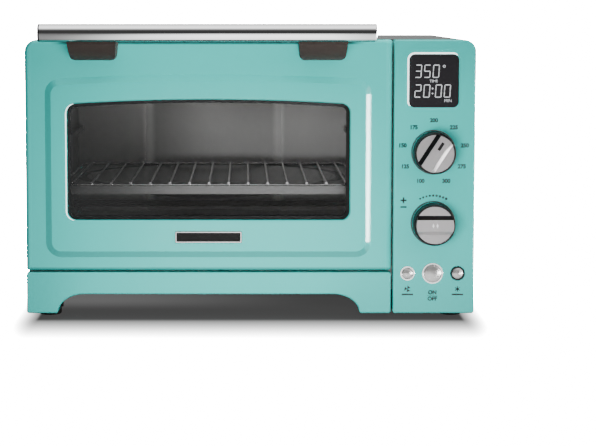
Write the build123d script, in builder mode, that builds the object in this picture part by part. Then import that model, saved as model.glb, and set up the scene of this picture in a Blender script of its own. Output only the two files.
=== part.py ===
from build123d import *
import os
from math import sqrt

# Countertop convection toaster oven with a drop-down door, in millimetres.
# +X is its right side seen from the front, -Y its front and +Z up.
# The origin is the middle of the whole oven's outline, on the table.

# Body
WIDTH = 470.0               # casing, and door and control panel side by side
BODY_HEIGHT = 287.0         # underside of the front to the top of the casing
FOOT_HEIGHT = 8.0           # rubber foot below the underside of the front
CASE_DEPTH = 306.0          # casing behind the door
CORNER_RADIUS = 12.5        # top corners seen from the front
CASE_SHEET = 1.0            # sheet steel of casing and cavity
SHEET_FIT = 0.3             # play between parts that slide into each other
RETURN_LIP = 12.0           # folded edges of the wrap
PAN_RISE = 21.0             # base pan above the underside
FOOT_DIAMETER = 24.0
FOOT_EDGE = 8.0             # foot rim to the casing side and to the casing ends
BOSS_WALL = 2.0             # drawn cups of the base pan round the feet
STEM_DIAMETER = 8.0         # rubber stem that holds a foot in its cup

# Ventilation slots
SLOT_LENGTH = 42.0
SLOT_HEIGHT = 3.6
SLOT_PITCH = 9.0
SIDE_SLOTS = 9
SIDE_COLUMNS = 2
LOW_SLOTS = 2               # left side, below the cavity
LOW_COLUMNS = 4
PAN_SLOTS = 3
REAR_SLOTS = 11

# Front
PANEL_WIDTH = 85.3
DOOR_THICKNESS = 24.0
DOOR_SIDE_GAP = 2.1         # door to control panel
DOOR_BACK_GAP = 2.0         # closed door to the cavity frame
DOOR_FOOT_GAP = 2.0         # door to base fascia
FASCIA_HEIGHT = 43.5
FRONT_WALL = 2.0            # wall of door shell and base fascia
PANEL_WALL = 3.0
EDGE_RADIUS = 4.0           # front edges of the door
FASCIA_EDGE = 2.0
SMALL_CORNER = 2.5          # lower and inner corners of the front parts
ARCH_HEIGHT = 20.2
ARCH_SIDE = 32.8            # fascia beside the arch
ARCH_END = 28.0             # run of each rounded end

# Door
FIELD_SIDE = 24.3           # door's sides to the raised field round the window
FIELD_FOOT = 17.3           # door's lower edge to the field
FIELD_HEIGHT = 180.0        # at the shoulders
FIELD_CROWN = 5.0           # rise of its arched top
FIELD_CORNER = 13.0
FIELD_RAISE = 2.6
FIELD_STEP = 6.4            # run of the sloping step
WINDOW_SIDE = 44.05         # door's sides to the window
WINDOW_FOOT = 53.5          # door's lower edge to the window
WINDOW_HEIGHT = 121.2
WINDOW_CROWN = 4.8
WINDOW_CORNER = 9.5
WINDOW_EDGE = 1.8           # rounding of the window's rim
GASKET_THICKNESS = 1.5
GASKET_LIP = 3.5            # rubber seen inside the window's rim
GLASS_THICKNESS = 4.0
GLASS_MARGIN = 8.0          # glass behind the rim
INNER_SHEET = 1.2
COLLAR_MARGIN = 3.0         # inner panel's collar round the window
BADGE_LENGTH = 69.7
BADGE_HEIGHT = 12.2
BADGE_THICKNESS = 1.2
BADGE_FOOT = 29.5           # door's lower edge to the plate

# Handle
HANDLE_DIAMETER = 18.5
HANDLE_WALL = 1.5
HANDLE_SIDE = 19.3          # door's sides to the ends of the bar
HANDLE_STANDOFF = 40.75     # door face to the bar's axis
HANDLE_RISE = 7.75          # bar's axis above the top of the door
CAP_THICKNESS = 2.0
CAP_PLUG = 10.0
BRACKET_END = 54.0          # end of the bar to the middle of a bracket
BRACKET_WIDTH = 52.0
BRACKET_TAPER = 3.0         # narrower at the foot, each side
BRACKET_DROP = 21.0         # foot below the top of the door
BRACKET_FOOT = 9.0          # thickness of the foot
BRACKET_CORNER = 6.0
SADDLE_WALL = 2.2           # bracket under the bar

# Hinges
HINGE_INSET = 7.5           # axis behind the door's face and above its lower edge
HINGE_SIDE = 36.3           # door's sides to the hinges
HINGE_PLATE = 3.0
HINGE_EYE = 5.0             # radius round the pin
HINGE_PIN = 4.0
PIN_FIT = 0.06              # radial play of pin and shafts that turn
HINGE_PLAY = 0.4            # plate to clevis ear
HINGE_EAR = 4.0
HINGE_SWING = 1.0           # room round the plate as the door turns
HINGE_FLANGE = 1.4
FLANGE_LENGTH = 22.0
TOE_RELIEF = 7.0            # lower rear edge cut away for the swing

# Oven cavity
CAVITY_SIDE = 26.3          # door's sides to the cavity
CAVITY_HEIGHT = 172.0
CAVITY_LIFT = 72.0          # floor above the underside of the front
BACK_SPACE = 24.0           # flat back wall to the rear cover
BULGE_RADIUS = 156.0        # round back that takes a round pan
BULGE_DEPTH = 23.5
RUNNER_REACH = 7.0
RUNNER_HEIGHT = 6.0
RUNNER_LIFT = 49.5          # lower runner's underside above the floor
RUNNER_PITCH = 50.0
REAR_BULGE_ROOM = 8.0       # cavity bulge to the inside of the rear cover's bulge
REAR_BULGE_REACH = 22.0     # bulge behind the casing
REAR_BULGE_MARGIN = 6.0     # bulge beyond floor and ceiling
REAR_BULGE_EDGE = 8.0

# Rack and trays
TRAY_PLAY = 3.0             # tray to the cavity walls
TRAY_SHEET = 1.2
TRAY_WELL_MARGIN = 27.0     # cavity walls to the round well
TRAY_WELL_SLOPE = 55.0      # run of its sloping side
TRAY_WELL_DEPTH = 17.0
TRAY_LIP_RISE = 2.0
TRAY_LIP_HEIGHT = 8.6
RACK_FRAME_WIRE = 4.2
RACK_WIRE = 2.8
RACK_END = 12.4             # outer wires to the frame's sides
RACK_WIRES = 15
RACK_MARGIN = 4.0           # frame inside the tray's edge
RACK_CORNER = 14.0
RACK_FRONT_ROOM = 8.0       # tray behind the cavity frame
SLIDE_FIT = 0.3             # tray above its runners
CRUMB_HEIGHT = 7.0

# Heaters
HEATER_DIAMETER = 8.0
UPPER_HEATER_DROP = 16.0    # axis below the ceiling
LOWER_HEATER_RISE = 17.0    # axis above the floor
HEATER_END = 65.5           # cavity's ends to the rods
HEATER_OVERHANG = 13.0      # beyond the cavity walls
BUSH_DIAMETER = 12.0
BUSH_FLANGE = 17.0
BUSH_THICKNESS = 5.0
PROBE_DIAMETER = 4.0
PROBE_REACH = 28.0
PROBE_DROP = 14.0
PROBE_BACK = 40.0           # from the flat back wall
PROBE_NUT = 10.0

# Convection fan in the right wall
FAN_DIAMETER = 84.0
FAN_ROOM = 8.0              # tip to housing
FAN_BLADES = 10
FAN_BLADE_WIDTH = 13.0
FAN_BLADE_TURN = 20.0       # blades against the radius, in degrees
FAN_DISC = 1.4
FAN_HUB = 24.0
HOUSING_DEPTH = 26.0
SPINDLE_DIAMETER = 5.0
SPINDLE_LENGTH = 40.0
MOTOR_DIAMETER = 54.0
MOTOR_LENGTH = 30.0
GRILLE_LAP = 6.0            # grille on the wall round its hole
GRILLE_HOLE = 6.0
GRILLE_RINGS = 3
GRILLE_SPOKES = 6           # holes in the first ring, and more in each next one
GRILLE_PITCH = 12.0

# Control panel
CONTROL_INSET = 41.5        # panel's left edge to the column of controls
DISPLAY_WIDTH = 51.8
DISPLAY_HEIGHT = 55.4
DISPLAY_CORNER = 6.0
DISPLAY_RISE = 244.3        # middle of the display above the underside
DISPLAY_BEVEL = 1.6
LENS_THICKNESS = 1.2
MODULE_MARGIN = 2.0
BOARD_DEPTH = 20.0          # panel face to control board
BOARD_THICKNESS = 1.6
BOARD_MARGIN = 5.0
BOARD_POST = 5.0
MODE_RISE = 170.0           # upper knob above the underside
SELECT_RISE = 95.5          # lower knob
KNOB_DIAMETER = 43.0
SLEEVE_WALL = 1.6
KNOB_HEIGHT = 22.0
KNOB_FACE_DEPTH = 5.0       # face below the top of the grip bar
KNOB_GAP = 2.2              # knob to the panel, more than the push travel
GRIP_TOP = 12.0
GRIP_FOOT = 20.0
MODE_ANGLE = 57.0           # grip bar against the horizontal
SHAFT_DIAMETER = 6.0
SHAFT_SEAT = 9.0            # shaft inside the knob
ENCODER_SIZE = 13.0
ENCODER_DEPTH = 9.0
ENCODER_FLOOR = 1.0
ENCODER_CORNER = 1.0
PLUNGER_WALL = 1.0          # sleeve round the lower knob's shaft
BEZEL_WALL = 1.4
BEZEL_PLAY = 0.5
BEZEL_RISE = 1.2
BUTTON_RISE = 42.5
BUTTON_PITCH = 26.3
START_DIAMETER = 18.0
SMALL_DIAMETER = 11.3
BUTTON_PLAY = 0.3
BUTTON_DOME = 2.2
BUTTON_STAND = 0.8          # cylinder proud of the panel
BUTTON_TRAVEL = 1.5
BUTTON_FLANGE = 1.5         # collar behind the panel, all round
BUTTON_COLLAR = 1.5         # its thickness
BUTTON_RING = 1.7
BUTTON_RING_RISE = 0.6
SWITCH_SIZE = 6.5

# Bay beside the cavity
SHIELD_GAP = 6.0            # motor to heat shield
SHIELD_HEIGHT = 190.0
SHIELD_LENGTH = 190.0
SHIELD_FOOT = 16.0
POWER_LENGTH = 130.0
POWER_HEIGHT = 90.0
POWER_STANDOFF = 6.0
RELAY_SIZE = 19.0
RELAY_PITCH = 28.5
RELAYS = 4
TRANSFORMER_LENGTH = 38.0
TRANSFORMER_HEIGHT = 30.4
GLAND_FLANGE = 24.0
GLAND_BODY = 17.0
GLAND_BORE = 8.0
GLAND_REACH = 9.0
GLAND_TAPER = 20.0          # in degrees
GLAND_RISE = 46.0
SCREW_HEAD = 7.0
SCREW_HEAD_HEIGHT = 2.2
SCREW_SHANK = 3.4
SCREW_LENGTH = 7.0

# Depths and levels that follow
HANDLE_REACH = HANDLE_STANDOFF + HANDLE_DIAMETER / 2
FRONT_DEPTH = DOOR_THICKNESS + DOOR_BACK_GAP
TOTAL_DEPTH = HANDLE_REACH + FRONT_DEPTH + CASE_DEPTH + REAR_BULGE_REACH
DOOR_FACE = HANDLE_REACH - TOTAL_DEPTH / 2
DOOR_BACK = DOOR_FACE + DOOR_THICKNESS
CASE_FRONT = DOOR_FACE + FRONT_DEPTH
CASE_BACK = CASE_FRONT + CASE_DEPTH
BODY_TOP = FOOT_HEIGHT + BODY_HEIGHT
PAN_TOP = FOOT_HEIGHT + PAN_RISE + CASE_SHEET
FASCIA_TOP = FOOT_HEIGHT + FASCIA_HEIGHT
DOOR_FOOT = FASCIA_TOP + DOOR_FOOT_GAP
SIDE = WIDTH / 2
PANEL_LEFT = SIDE - PANEL_WIDTH
DOOR_RIGHT = PANEL_LEFT - DOOR_SIDE_GAP
DOOR_WIDTH = DOOR_RIGHT + SIDE
DOOR_X = DOOR_RIGHT - DOOR_WIDTH / 2
CONTROL_X = PANEL_LEFT + CONTROL_INSET
FIELD_WIDTH = DOOR_WIDTH - 2 * FIELD_SIDE
WINDOW_WIDTH = DOOR_WIDTH - 2 * WINDOW_SIDE
ARCH_FLAT = DOOR_WIDTH - 2 * (ARCH_SIDE + ARCH_END)
HANDLE_LENGTH = DOOR_WIDTH - 2 * HANDLE_SIDE
BRACKET_SPREAD = HANDLE_LENGTH - 2 * BRACKET_END
HINGE_SPREAD = DOOR_WIDTH - 2 * HINGE_SIDE
CAVITY_WIDTH = DOOR_WIDTH - 2 * CAVITY_SIDE
TRAY_WELL = CAVITY_WIDTH / 2 - TRAY_WELL_MARGIN
HINGE_Y = DOOR_FACE + HINGE_INSET
HINGE_Z = DOOR_FOOT + HINGE_INSET
HANDLE_Y = DOOR_FACE - HANDLE_STANDOFF
HANDLE_Z = BODY_TOP + HANDLE_RISE
CAVITY_LEFT = DOOR_X - CAVITY_WIDTH / 2
CAVITY_RIGHT = DOOR_X + CAVITY_WIDTH / 2
CAVITY_FRONT = CASE_FRONT + CASE_SHEET
CAVITY_BACK = CASE_BACK - BACK_SPACE
FLOOR = FOOT_HEIGHT + CAVITY_LIFT
CEILING = FLOOR + CAVITY_HEIGHT
BULGE_Y = CAVITY_BACK + BULGE_DEPTH - BULGE_RADIUS
FAN_Y = (CAVITY_FRONT + CAVITY_BACK) / 2
FAN_Z = (FLOOR + CEILING) / 2 + RUNNER_HEIGHT
HOUSING_INNER = FAN_DIAMETER / 2 + FAN_ROOM
MOTOR_X = CAVITY_RIGHT + CASE_SHEET + HOUSING_DEPTH
SHIELD_X = MOTOR_X + MOTOR_LENGTH + SHIELD_GAP
BOARD_FACE = DOOR_FACE + BOARD_DEPTH
HINGE_XS = (DOOR_X - HINGE_SPREAD / 2, DOOR_X + HINGE_SPREAD / 2)
FOOT_X = SIDE - FOOT_EDGE - FOOT_DIAMETER / 2
CUP_RADIUS = FOOT_DIAMETER / 2 + BOSS_WALL
FOOT_INSET = FOOT_EDGE + FOOT_DIAMETER / 2
FOOT_PLACES = [
    (x, y) for x in (-FOOT_X, FOOT_X) for y in (CASE_FRONT + FOOT_INSET, CASE_BACK - FOOT_INSET)
]


def front_plane(y):
    """Upright plane at depth y: sketch x is X, sketch y is Z, and it faces the front."""
    return Plane.XZ.offset(-y)


def side_plane(x):
    """Upright plane at x: sketch x is Y, sketch y is Z, and it faces right."""
    return Plane.YZ.offset(x)


def level_plane(z):
    return Plane.XY.offset(z)


def save(piece, label):
    piece.part.label = label
    export_step(piece.part, f"parts/{label}.step")


def casing_outline(inset):
    """Section of the casing seen from the front, open at the foot."""
    with Locations((0, (FOOT_HEIGHT + BODY_TOP - inset) / 2)):
        Rectangle(WIDTH - 2 * inset, BODY_HEIGHT - inset)
    fillet(vertices().group_by(Axis.Y)[-1], CORNER_RADIUS - inset)


def front_outline(left, right, foot, top, round_left, round_right):
    """Front part with its own radius at each top corner."""
    with Locations(((left + right) / 2, (foot + top) / 2)):
        Rectangle(right - left, top - foot)
    fillet(vertices().group_by(Axis.Y)[-1].sort_by(Axis.X)[0], round_left)
    fillet(vertices().group_by(Axis.Y)[-1].sort_by(Axis.X)[-1], round_right)
    fillet(vertices().group_by(Axis.Y)[0], SMALL_CORNER)


def arched_outline(width, foot, height, crown, corner, grow=0.0):
    """Straight sides and foot, with the top bowed upwards; grow pushes it out all round."""
    half = width / 2 + grow
    low = foot - grow
    shoulder = foot + height + grow
    with BuildLine() as outline:
        Polyline(
            (DOOR_X - half, shoulder), (DOOR_X - half, low), (DOOR_X + half, low), (DOOR_X + half, shoulder)
        )
        ThreePointArc(
            (DOOR_X + half, shoulder), (DOOR_X, shoulder + crown), (DOOR_X - half, shoulder)
        )
    make_face(outline.edges())
    fillet(vertices(), corner + grow)


def field_outline(grow):
    arched_outline(FIELD_WIDTH, DOOR_FOOT + FIELD_FOOT, FIELD_HEIGHT, FIELD_CROWN, FIELD_CORNER, grow)


def window_outline(grow):
    arched_outline(
        WINDOW_WIDTH, DOOR_FOOT + WINDOW_FOOT, WINDOW_HEIGHT, WINDOW_CROWN, WINDOW_CORNER, grow
    )


def cavity_plan(grow, front, mode=Mode.ADD):
    """Plan of the cavity: straight sides and a back that bulges round a pan."""
    back = CAVITY_BACK + grow
    half = CAVITY_WIDTH / 2 + grow
    radius = BULGE_RADIUS + grow
    chord = sqrt(radius**2 - (back - BULGE_Y) ** 2)
    with BuildLine() as outline:
        Polyline(
            (DOOR_X + chord, back), (DOOR_X + half, back), (DOOR_X + half, front),
            (DOOR_X - half, front), (DOOR_X - half, back), (DOOR_X - chord, back),
        )
        ThreePointArc((DOOR_X - chord, back), (DOOR_X, BULGE_Y + radius), (DOOR_X + chord, back))
    make_face(outline.edges(), mode=mode)


def arch_void(grow, mode):
    """Arch under the front, with a straight top and rounded ends."""
    flat = ARCH_FLAT / 2
    run = ARCH_END + grow
    rise = ARCH_HEIGHT + grow
    with BuildLine() as outline:
        EllipticalCenterArc((DOOR_X + flat, FOOT_HEIGHT), run, rise, start_angle=0, arc_size=90)
        Line((DOOR_X + flat, FOOT_HEIGHT + rise), (DOOR_X - flat, FOOT_HEIGHT + rise))
        EllipticalCenterArc((DOOR_X - flat, FOOT_HEIGHT), run, rise, start_angle=90, arc_size=90)
        Polyline(
            (DOOR_X - flat - run, FOOT_HEIGHT),
            (DOOR_X - flat - run, 0),
            (DOOR_X + flat + run, 0),
            (DOOR_X + flat + run, FOOT_HEIGHT),
        )
    make_face(outline.edges(), mode=mode)


os.makedirs("parts", exist_ok=True)

# Screws of the rear cover, in from its rim
SCREW_INSET = RETURN_LIP / 2
SCREW_PLACES = [
    (x, z)
    for x in (SCREW_INSET - SIDE, SIDE - SCREW_INSET)
    for z in (FOOT_HEIGHT + RETURN_LIP, (FOOT_HEIGHT + BODY_TOP) / 2, BODY_TOP - 2 * RETURN_LIP)
] + [(x, BODY_TOP - SCREW_INSET) for x in (DOOR_X, CONTROL_X - RETURN_LIP)]

# Casing wrap: top and sides in one folded sheet, with lips at the foot and the rear
with BuildPart() as case_wrap:
    with BuildSketch(front_plane(CASE_FRONT)):
        casing_outline(0)
    extrude(amount=-CASE_DEPTH)
    with BuildSketch(front_plane(CASE_FRONT)):
        casing_outline(CASE_SHEET)
    extrude(amount=CASE_SHEET - CASE_DEPTH, mode=Mode.SUBTRACT)
    with BuildSketch(front_plane(CASE_FRONT)):
        casing_outline(RETURN_LIP)
    extrude(amount=-CASE_DEPTH, mode=Mode.SUBTRACT)
    lip_x = SIDE - CASE_SHEET - RETURN_LIP / 2
    with Locations(
        *[(x, (CASE_FRONT + CASE_BACK) / 2, FOOT_HEIGHT + CASE_SHEET / 2) for x in (-lip_x, lip_x)]
    ):
        Box(RETURN_LIP, CASE_DEPTH, CASE_SHEET)
    with BuildSketch(side_plane(SIDE)):
        slot_y = CASE_BACK - RETURN_LIP - SLOT_LENGTH
        with Locations((slot_y, BODY_TOP / 2)):
            with GridLocations(SLOT_LENGTH + SLOT_PITCH, SLOT_PITCH, SIDE_COLUMNS, SIDE_SLOTS):
                SlotOverall(SLOT_LENGTH, SLOT_HEIGHT)
    extrude(amount=-2 * CASE_SHEET, mode=Mode.SUBTRACT)
    with BuildSketch(side_plane(-SIDE)):
        with Locations(((CASE_FRONT + CASE_BACK) / 2, PAN_TOP + 2 * SLOT_PITCH)):
            with GridLocations(SLOT_LENGTH + SLOT_PITCH, SLOT_PITCH, LOW_COLUMNS, LOW_SLOTS):
                SlotOverall(SLOT_LENGTH, SLOT_HEIGHT)
    extrude(amount=2 * CASE_SHEET, mode=Mode.SUBTRACT)
    with BuildSketch(front_plane(CASE_BACK)):
        with Locations(*SCREW_PLACES):
            Circle(SCREW_SHANK / 2 + PIN_FIT)
    extrude(amount=CASE_SHEET, mode=Mode.SUBTRACT)
    with BuildSketch(level_plane(FOOT_HEIGHT)):
        with Locations(*FOOT_PLACES):
            Circle(CUP_RADIUS + SHEET_FIT)
    extrude(amount=CASE_SHEET, mode=Mode.SUBTRACT)

# Rear cover on the wrap's rear lip, with the outside of the round back
REAR_FACE = CASE_BACK + CASE_SHEET
REAR_RADIUS = BULGE_RADIUS + REAR_BULGE_ROOM
REAR_CENTRE = CASE_BACK + REAR_BULGE_REACH - REAR_RADIUS
REAR_CHORD = sqrt(REAR_RADIUS**2 - (CASE_BACK - REAR_CENTRE) ** 2)
BULGE_LOW = FLOOR - REAR_BULGE_MARGIN
BULGE_HIGH = CEILING + REAR_BULGE_MARGIN
GLAND_X = CONTROL_X
GLAND_Z = FOOT_HEIGHT + GLAND_RISE
with BuildPart() as rear_cover:
    with BuildSketch(front_plane(CASE_BACK)):
        casing_outline(CASE_SHEET)
    extrude(amount=-CASE_SHEET)
    with BuildSketch(level_plane(BULGE_LOW)):
        with BuildLine():
            ThreePointArc(
                (DOOR_X - REAR_CHORD, CASE_BACK),
                (DOOR_X, REAR_CENTRE + REAR_RADIUS),
                (DOOR_X + REAR_CHORD, CASE_BACK),
            )
            Line((DOOR_X + REAR_CHORD, CASE_BACK), (DOOR_X - REAR_CHORD, CASE_BACK))
        make_face()
    extrude(amount=BULGE_HIGH - BULGE_LOW)
    fillet(
        edges().filter_by(GeomType.CIRCLE).filter_by(lambda e: e.length > REAR_CHORD), REAR_BULGE_EDGE
    )
    with BuildSketch(level_plane(BULGE_LOW + CASE_SHEET)):
        with BuildLine():
            inner_chord = sqrt((REAR_RADIUS - CASE_SHEET) ** 2 - (CASE_BACK - REAR_CENTRE) ** 2)
            ThreePointArc(
                (DOOR_X - inner_chord, CASE_BACK),
                (DOOR_X, REAR_CENTRE + REAR_RADIUS - CASE_SHEET),
                (DOOR_X + inner_chord, CASE_BACK),
            )
            Line((DOOR_X + inner_chord, CASE_BACK), (DOOR_X - inner_chord, CASE_BACK))
        make_face()
    hollow = extrude(amount=BULGE_HIGH - BULGE_LOW - 2 * CASE_SHEET, mode=Mode.PRIVATE)
    rounded = hollow.edges().filter_by(GeomType.CIRCLE)
    add(hollow.fillet(REAR_BULGE_EDGE - CASE_SHEET, rounded), mode=Mode.SUBTRACT)
    with BuildSketch(front_plane(CASE_BACK)):
        with Locations((CONTROL_X, (FOOT_HEIGHT + BODY_TOP) / 2)):
            with GridLocations(SLOT_LENGTH, SLOT_PITCH, 1, REAR_SLOTS):
                SlotOverall(SLOT_LENGTH, SLOT_HEIGHT)
        with Locations(*SCREW_PLACES):
            Circle(SCREW_SHANK / 2 + PIN_FIT)
        with Locations((GLAND_X, GLAND_Z)):
            Circle(GLAND_BODY / 2 + PIN_FIT)
    extrude(amount=-CASE_SHEET, mode=Mode.SUBTRACT)

with BuildPart() as cover_screws:
    with BuildSketch(front_plane(REAR_FACE)):
        with Locations(*SCREW_PLACES):
            Circle(SCREW_SHANK / 2)
    extrude(amount=SCREW_LENGTH)
    with BuildSketch(front_plane(REAR_FACE)):
        with Locations(*SCREW_PLACES):
            Circle(SCREW_HEAD / 2)
    extrude(amount=-SCREW_HEAD_HEIGHT)
    rims = faces().group_by(Axis.Y)[-1]
    fillet(rims.edges(), SCREW_HEAD_HEIGHT / 2)

with BuildPart() as cord_gland:
    with BuildSketch(front_plane(REAR_FACE)):
        with Locations((GLAND_X, GLAND_Z)):
            Circle(GLAND_FLANGE / 2)
    extrude(amount=-GLAND_REACH, taper=GLAND_TAPER)
    with BuildSketch(front_plane(REAR_FACE)):
        with Locations((GLAND_X, GLAND_Z)):
            Circle(GLAND_BODY / 2)
    extrude(amount=GLAND_REACH)
    with BuildSketch(front_plane(REAR_FACE)):
        with Locations((GLAND_X, GLAND_Z)):
            Circle(GLAND_BORE / 2)
    extrude(amount=GLAND_REACH, both=True, mode=Mode.SUBTRACT)

# Base pan: plate, side flanges that stand on the wrap's lips, and a drawn cup for each foot
PAN_HALF = SIDE - CASE_SHEET - SHEET_FIT
PAN_LENGTH = CASE_DEPTH - 2 * (CASE_SHEET + SHEET_FIT)
PAN_Y = CAVITY_FRONT + SHEET_FIT + PAN_LENGTH / 2
with BuildPart() as base_pan:
    with BuildSketch(level_plane(PAN_TOP)):
        with Locations((0, PAN_Y)):
            Rectangle(2 * PAN_HALF, PAN_LENGTH)
    extrude(amount=-CASE_SHEET)
    flange_height = PAN_RISE - CASE_SHEET
    with Locations(
        *[
            (x, PAN_Y, FOOT_HEIGHT + CASE_SHEET + flange_height / 2)
            for x in (CASE_SHEET / 2 - PAN_HALF, PAN_HALF - CASE_SHEET / 2)
        ]
    ):
        Box(CASE_SHEET, PAN_LENGTH, flange_height)
    with BuildSketch(level_plane(FOOT_HEIGHT)):
        with Locations(*FOOT_PLACES):
            Circle(CUP_RADIUS)
    extrude(amount=PAN_RISE)
    with BuildSketch(level_plane(FOOT_HEIGHT + BOSS_WALL)):
        with Locations(*FOOT_PLACES):
            Circle(CUP_RADIUS - BOSS_WALL)
    extrude(amount=PAN_RISE, mode=Mode.SUBTRACT)
    with BuildSketch(level_plane(FOOT_HEIGHT)):
        with Locations(*FOOT_PLACES):
            Circle(STEM_DIAMETER / 2 + PIN_FIT)
        with Locations((SHIELD_X - SHIELD_FOOT, PAN_Y)):
            with GridLocations(SLOT_PITCH, 1, PAN_SLOTS, 1):
                SlotOverall(SLOT_LENGTH, SLOT_HEIGHT, rotation=90)
    extrude(amount=PAN_RISE + CASE_SHEET, mode=Mode.SUBTRACT)

with BuildPart() as feet:
    with BuildSketch(level_plane(0)):
        with Locations(*FOOT_PLACES):
            Circle(FOOT_DIAMETER / 2)
    extrude(amount=FOOT_HEIGHT)
    fillet(edges().group_by(Axis.Z)[0], FOOT_HEIGHT / 4)
    with BuildSketch(level_plane(FOOT_HEIGHT)):
        with Locations(*FOOT_PLACES):
            Circle(STEM_DIAMETER / 2)
    extrude(amount=2 * BOSS_WALL)

# Base fascia: hollow front below the door, with the arch
with BuildPart() as base_fascia:
    with BuildSketch(front_plane(DOOR_FACE)):
        front_outline(-SIDE, DOOR_RIGHT, FOOT_HEIGHT, FASCIA_TOP, SMALL_CORNER, SMALL_CORNER)
        arch_void(0, Mode.SUBTRACT)
        arch_reach = ARCH_FLAT / 2 + ARCH_END
        fillet(vertices().filter_by(lambda v: abs(abs(v.X - DOOR_X) - arch_reach) < PIN_FIT), SMALL_CORNER)
    extrude(amount=-FRONT_DEPTH)
    fillet(faces().sort_by(Axis.Y)[0].edges(), FASCIA_EDGE)
    with BuildSketch(front_plane(CASE_FRONT)):
        front_outline(
            FRONT_WALL - SIDE, DOOR_RIGHT - FRONT_WALL, FOOT_HEIGHT + FRONT_WALL, FASCIA_TOP - FRONT_WALL,
            SMALL_CORNER / 2, SMALL_CORNER / 2,
        )
        arch_void(FRONT_WALL, Mode.SUBTRACT)
    extrude(amount=FRONT_DEPTH - FRONT_WALL, mode=Mode.SUBTRACT)

# Control panel: hollow front with the display window, knob recesses and button holes
MODE_Z = FOOT_HEIGHT + MODE_RISE
SELECT_Z = FOOT_HEIGHT + SELECT_RISE
DISPLAY_Z = FOOT_HEIGHT + DISPLAY_RISE
BUTTON_Z = FOOT_HEIGHT + BUTTON_RISE
KNOB_PLACES = [(CONTROL_X, MODE_Z), (CONTROL_X, SELECT_Z)]
BUTTON_PLACES = [
    (CONTROL_X - BUTTON_PITCH, SMALL_DIAMETER),
    (CONTROL_X, START_DIAMETER),
    (CONTROL_X + BUTTON_PITCH, SMALL_DIAMETER),
]
BEZEL_RADIUS = KNOB_DIAMETER / 2 + BEZEL_PLAY + BEZEL_WALL
RECESS = PANEL_WALL / 2
BOARD_LOW = FOOT_HEIGHT + PANEL_WALL + BOARD_MARGIN
BOARD_HIGH = BODY_TOP - PANEL_WALL - BOARD_MARGIN
BOARD_WIDTH = PANEL_WIDTH - 2 * (PANEL_WALL + BOARD_MARGIN)
BOARD_X = PANEL_LEFT + PANEL_WIDTH / 2
POST_PLACES = [
    (BOARD_X + sx * (BOARD_WIDTH - BOARD_POST) / 2, z)
    for sx in (-1, 1)
    for z in (BOARD_LOW + BOARD_POST / 2, (MODE_Z + SELECT_Z) / 2, BOARD_HIGH - BOARD_POST / 2)
]
with BuildPart() as control_panel:
    with BuildSketch(front_plane(DOOR_FACE)):
        front_outline(PANEL_LEFT, SIDE, FOOT_HEIGHT, BODY_TOP, SMALL_CORNER, CORNER_RADIUS)
    extrude(amount=-FRONT_DEPTH)
    fillet(faces().sort_by(Axis.Y)[0].edges(), FASCIA_EDGE)
    with BuildSketch(front_plane(CASE_FRONT)):
        front_outline(
            PANEL_LEFT + PANEL_WALL, SIDE - PANEL_WALL, FOOT_HEIGHT + PANEL_WALL, BODY_TOP - PANEL_WALL,
            SMALL_CORNER, CORNER_RADIUS - PANEL_WALL,
        )
    extrude(amount=FRONT_DEPTH - PANEL_WALL, mode=Mode.SUBTRACT)
    with BuildSketch(front_plane(DOOR_FACE + PANEL_WALL)):
        with Locations(*POST_PLACES):
            Circle(BOARD_POST / 2)
    extrude(amount=PANEL_WALL - BOARD_DEPTH)
    with BuildSketch(front_plane(DOOR_FACE)):
        with Locations((CONTROL_X, DISPLAY_Z)):
            RectangleRounded(DISPLAY_WIDTH, DISPLAY_HEIGHT, DISPLAY_CORNER)
        with Locations(*KNOB_PLACES):
            Circle(SHAFT_DIAMETER / 2 + BEZEL_PLAY)
        for button_x, diameter in BUTTON_PLACES:
            with Locations((button_x, BUTTON_Z)):
                Circle(diameter / 2 + BUTTON_PLAY)
    extrude(amount=-PANEL_WALL, mode=Mode.SUBTRACT)
    with BuildSketch(front_plane(DOOR_FACE)):
        with Locations(*KNOB_PLACES):
            Circle(BEZEL_RADIUS + PIN_FIT)
        for button_x, diameter in BUTTON_PLACES:
            with Locations((button_x, BUTTON_Z)):
                Circle(diameter / 2 + BUTTON_PLAY + BUTTON_RING + PIN_FIT)
    extrude(amount=-RECESS, mode=Mode.SUBTRACT)
    rim = edges().filter_by(lambda e: abs(e.center().Y - DOOR_FACE) < PIN_FIT)
    window_rim = rim.filter_by(
        lambda e: abs(e.center().X - CONTROL_X) <= DISPLAY_WIDTH / 2 + PIN_FIT
        and abs(e.center().Z - DISPLAY_Z) <= DISPLAY_HEIGHT / 2 + PIN_FIT
    )
    chamfer(window_rim, DISPLAY_BEVEL)

with BuildPart() as display_lens:
    with BuildSketch(front_plane(DOOR_FACE + PANEL_WALL)):
        with Locations((CONTROL_X, DISPLAY_Z)):
            RectangleRounded(
                DISPLAY_WIDTH - 2 * PIN_FIT, DISPLAY_HEIGHT - 2 * PIN_FIT, DISPLAY_CORNER - PIN_FIT
            )
    extrude(amount=LENS_THICKNESS)

with BuildPart() as display_module:
    with BuildSketch(front_plane(DOOR_FACE + PANEL_WALL)):
        with Locations((CONTROL_X, DISPLAY_Z)):
            Rectangle(DISPLAY_WIDTH + 2 * MODULE_MARGIN, DISPLAY_HEIGHT + 2 * MODULE_MARGIN)
    extrude(amount=PANEL_WALL - BOARD_DEPTH)
    with BuildSketch(front_plane(BOARD_FACE)):
        with Locations((CONTROL_X, DISPLAY_Z)):
            Rectangle(DISPLAY_WIDTH - 2 * MODULE_MARGIN, DISPLAY_HEIGHT - 2 * MODULE_MARGIN)
    extrude(amount=BOARD_DEPTH - PANEL_WALL - 2 * MODULE_MARGIN, mode=Mode.SUBTRACT)

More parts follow.
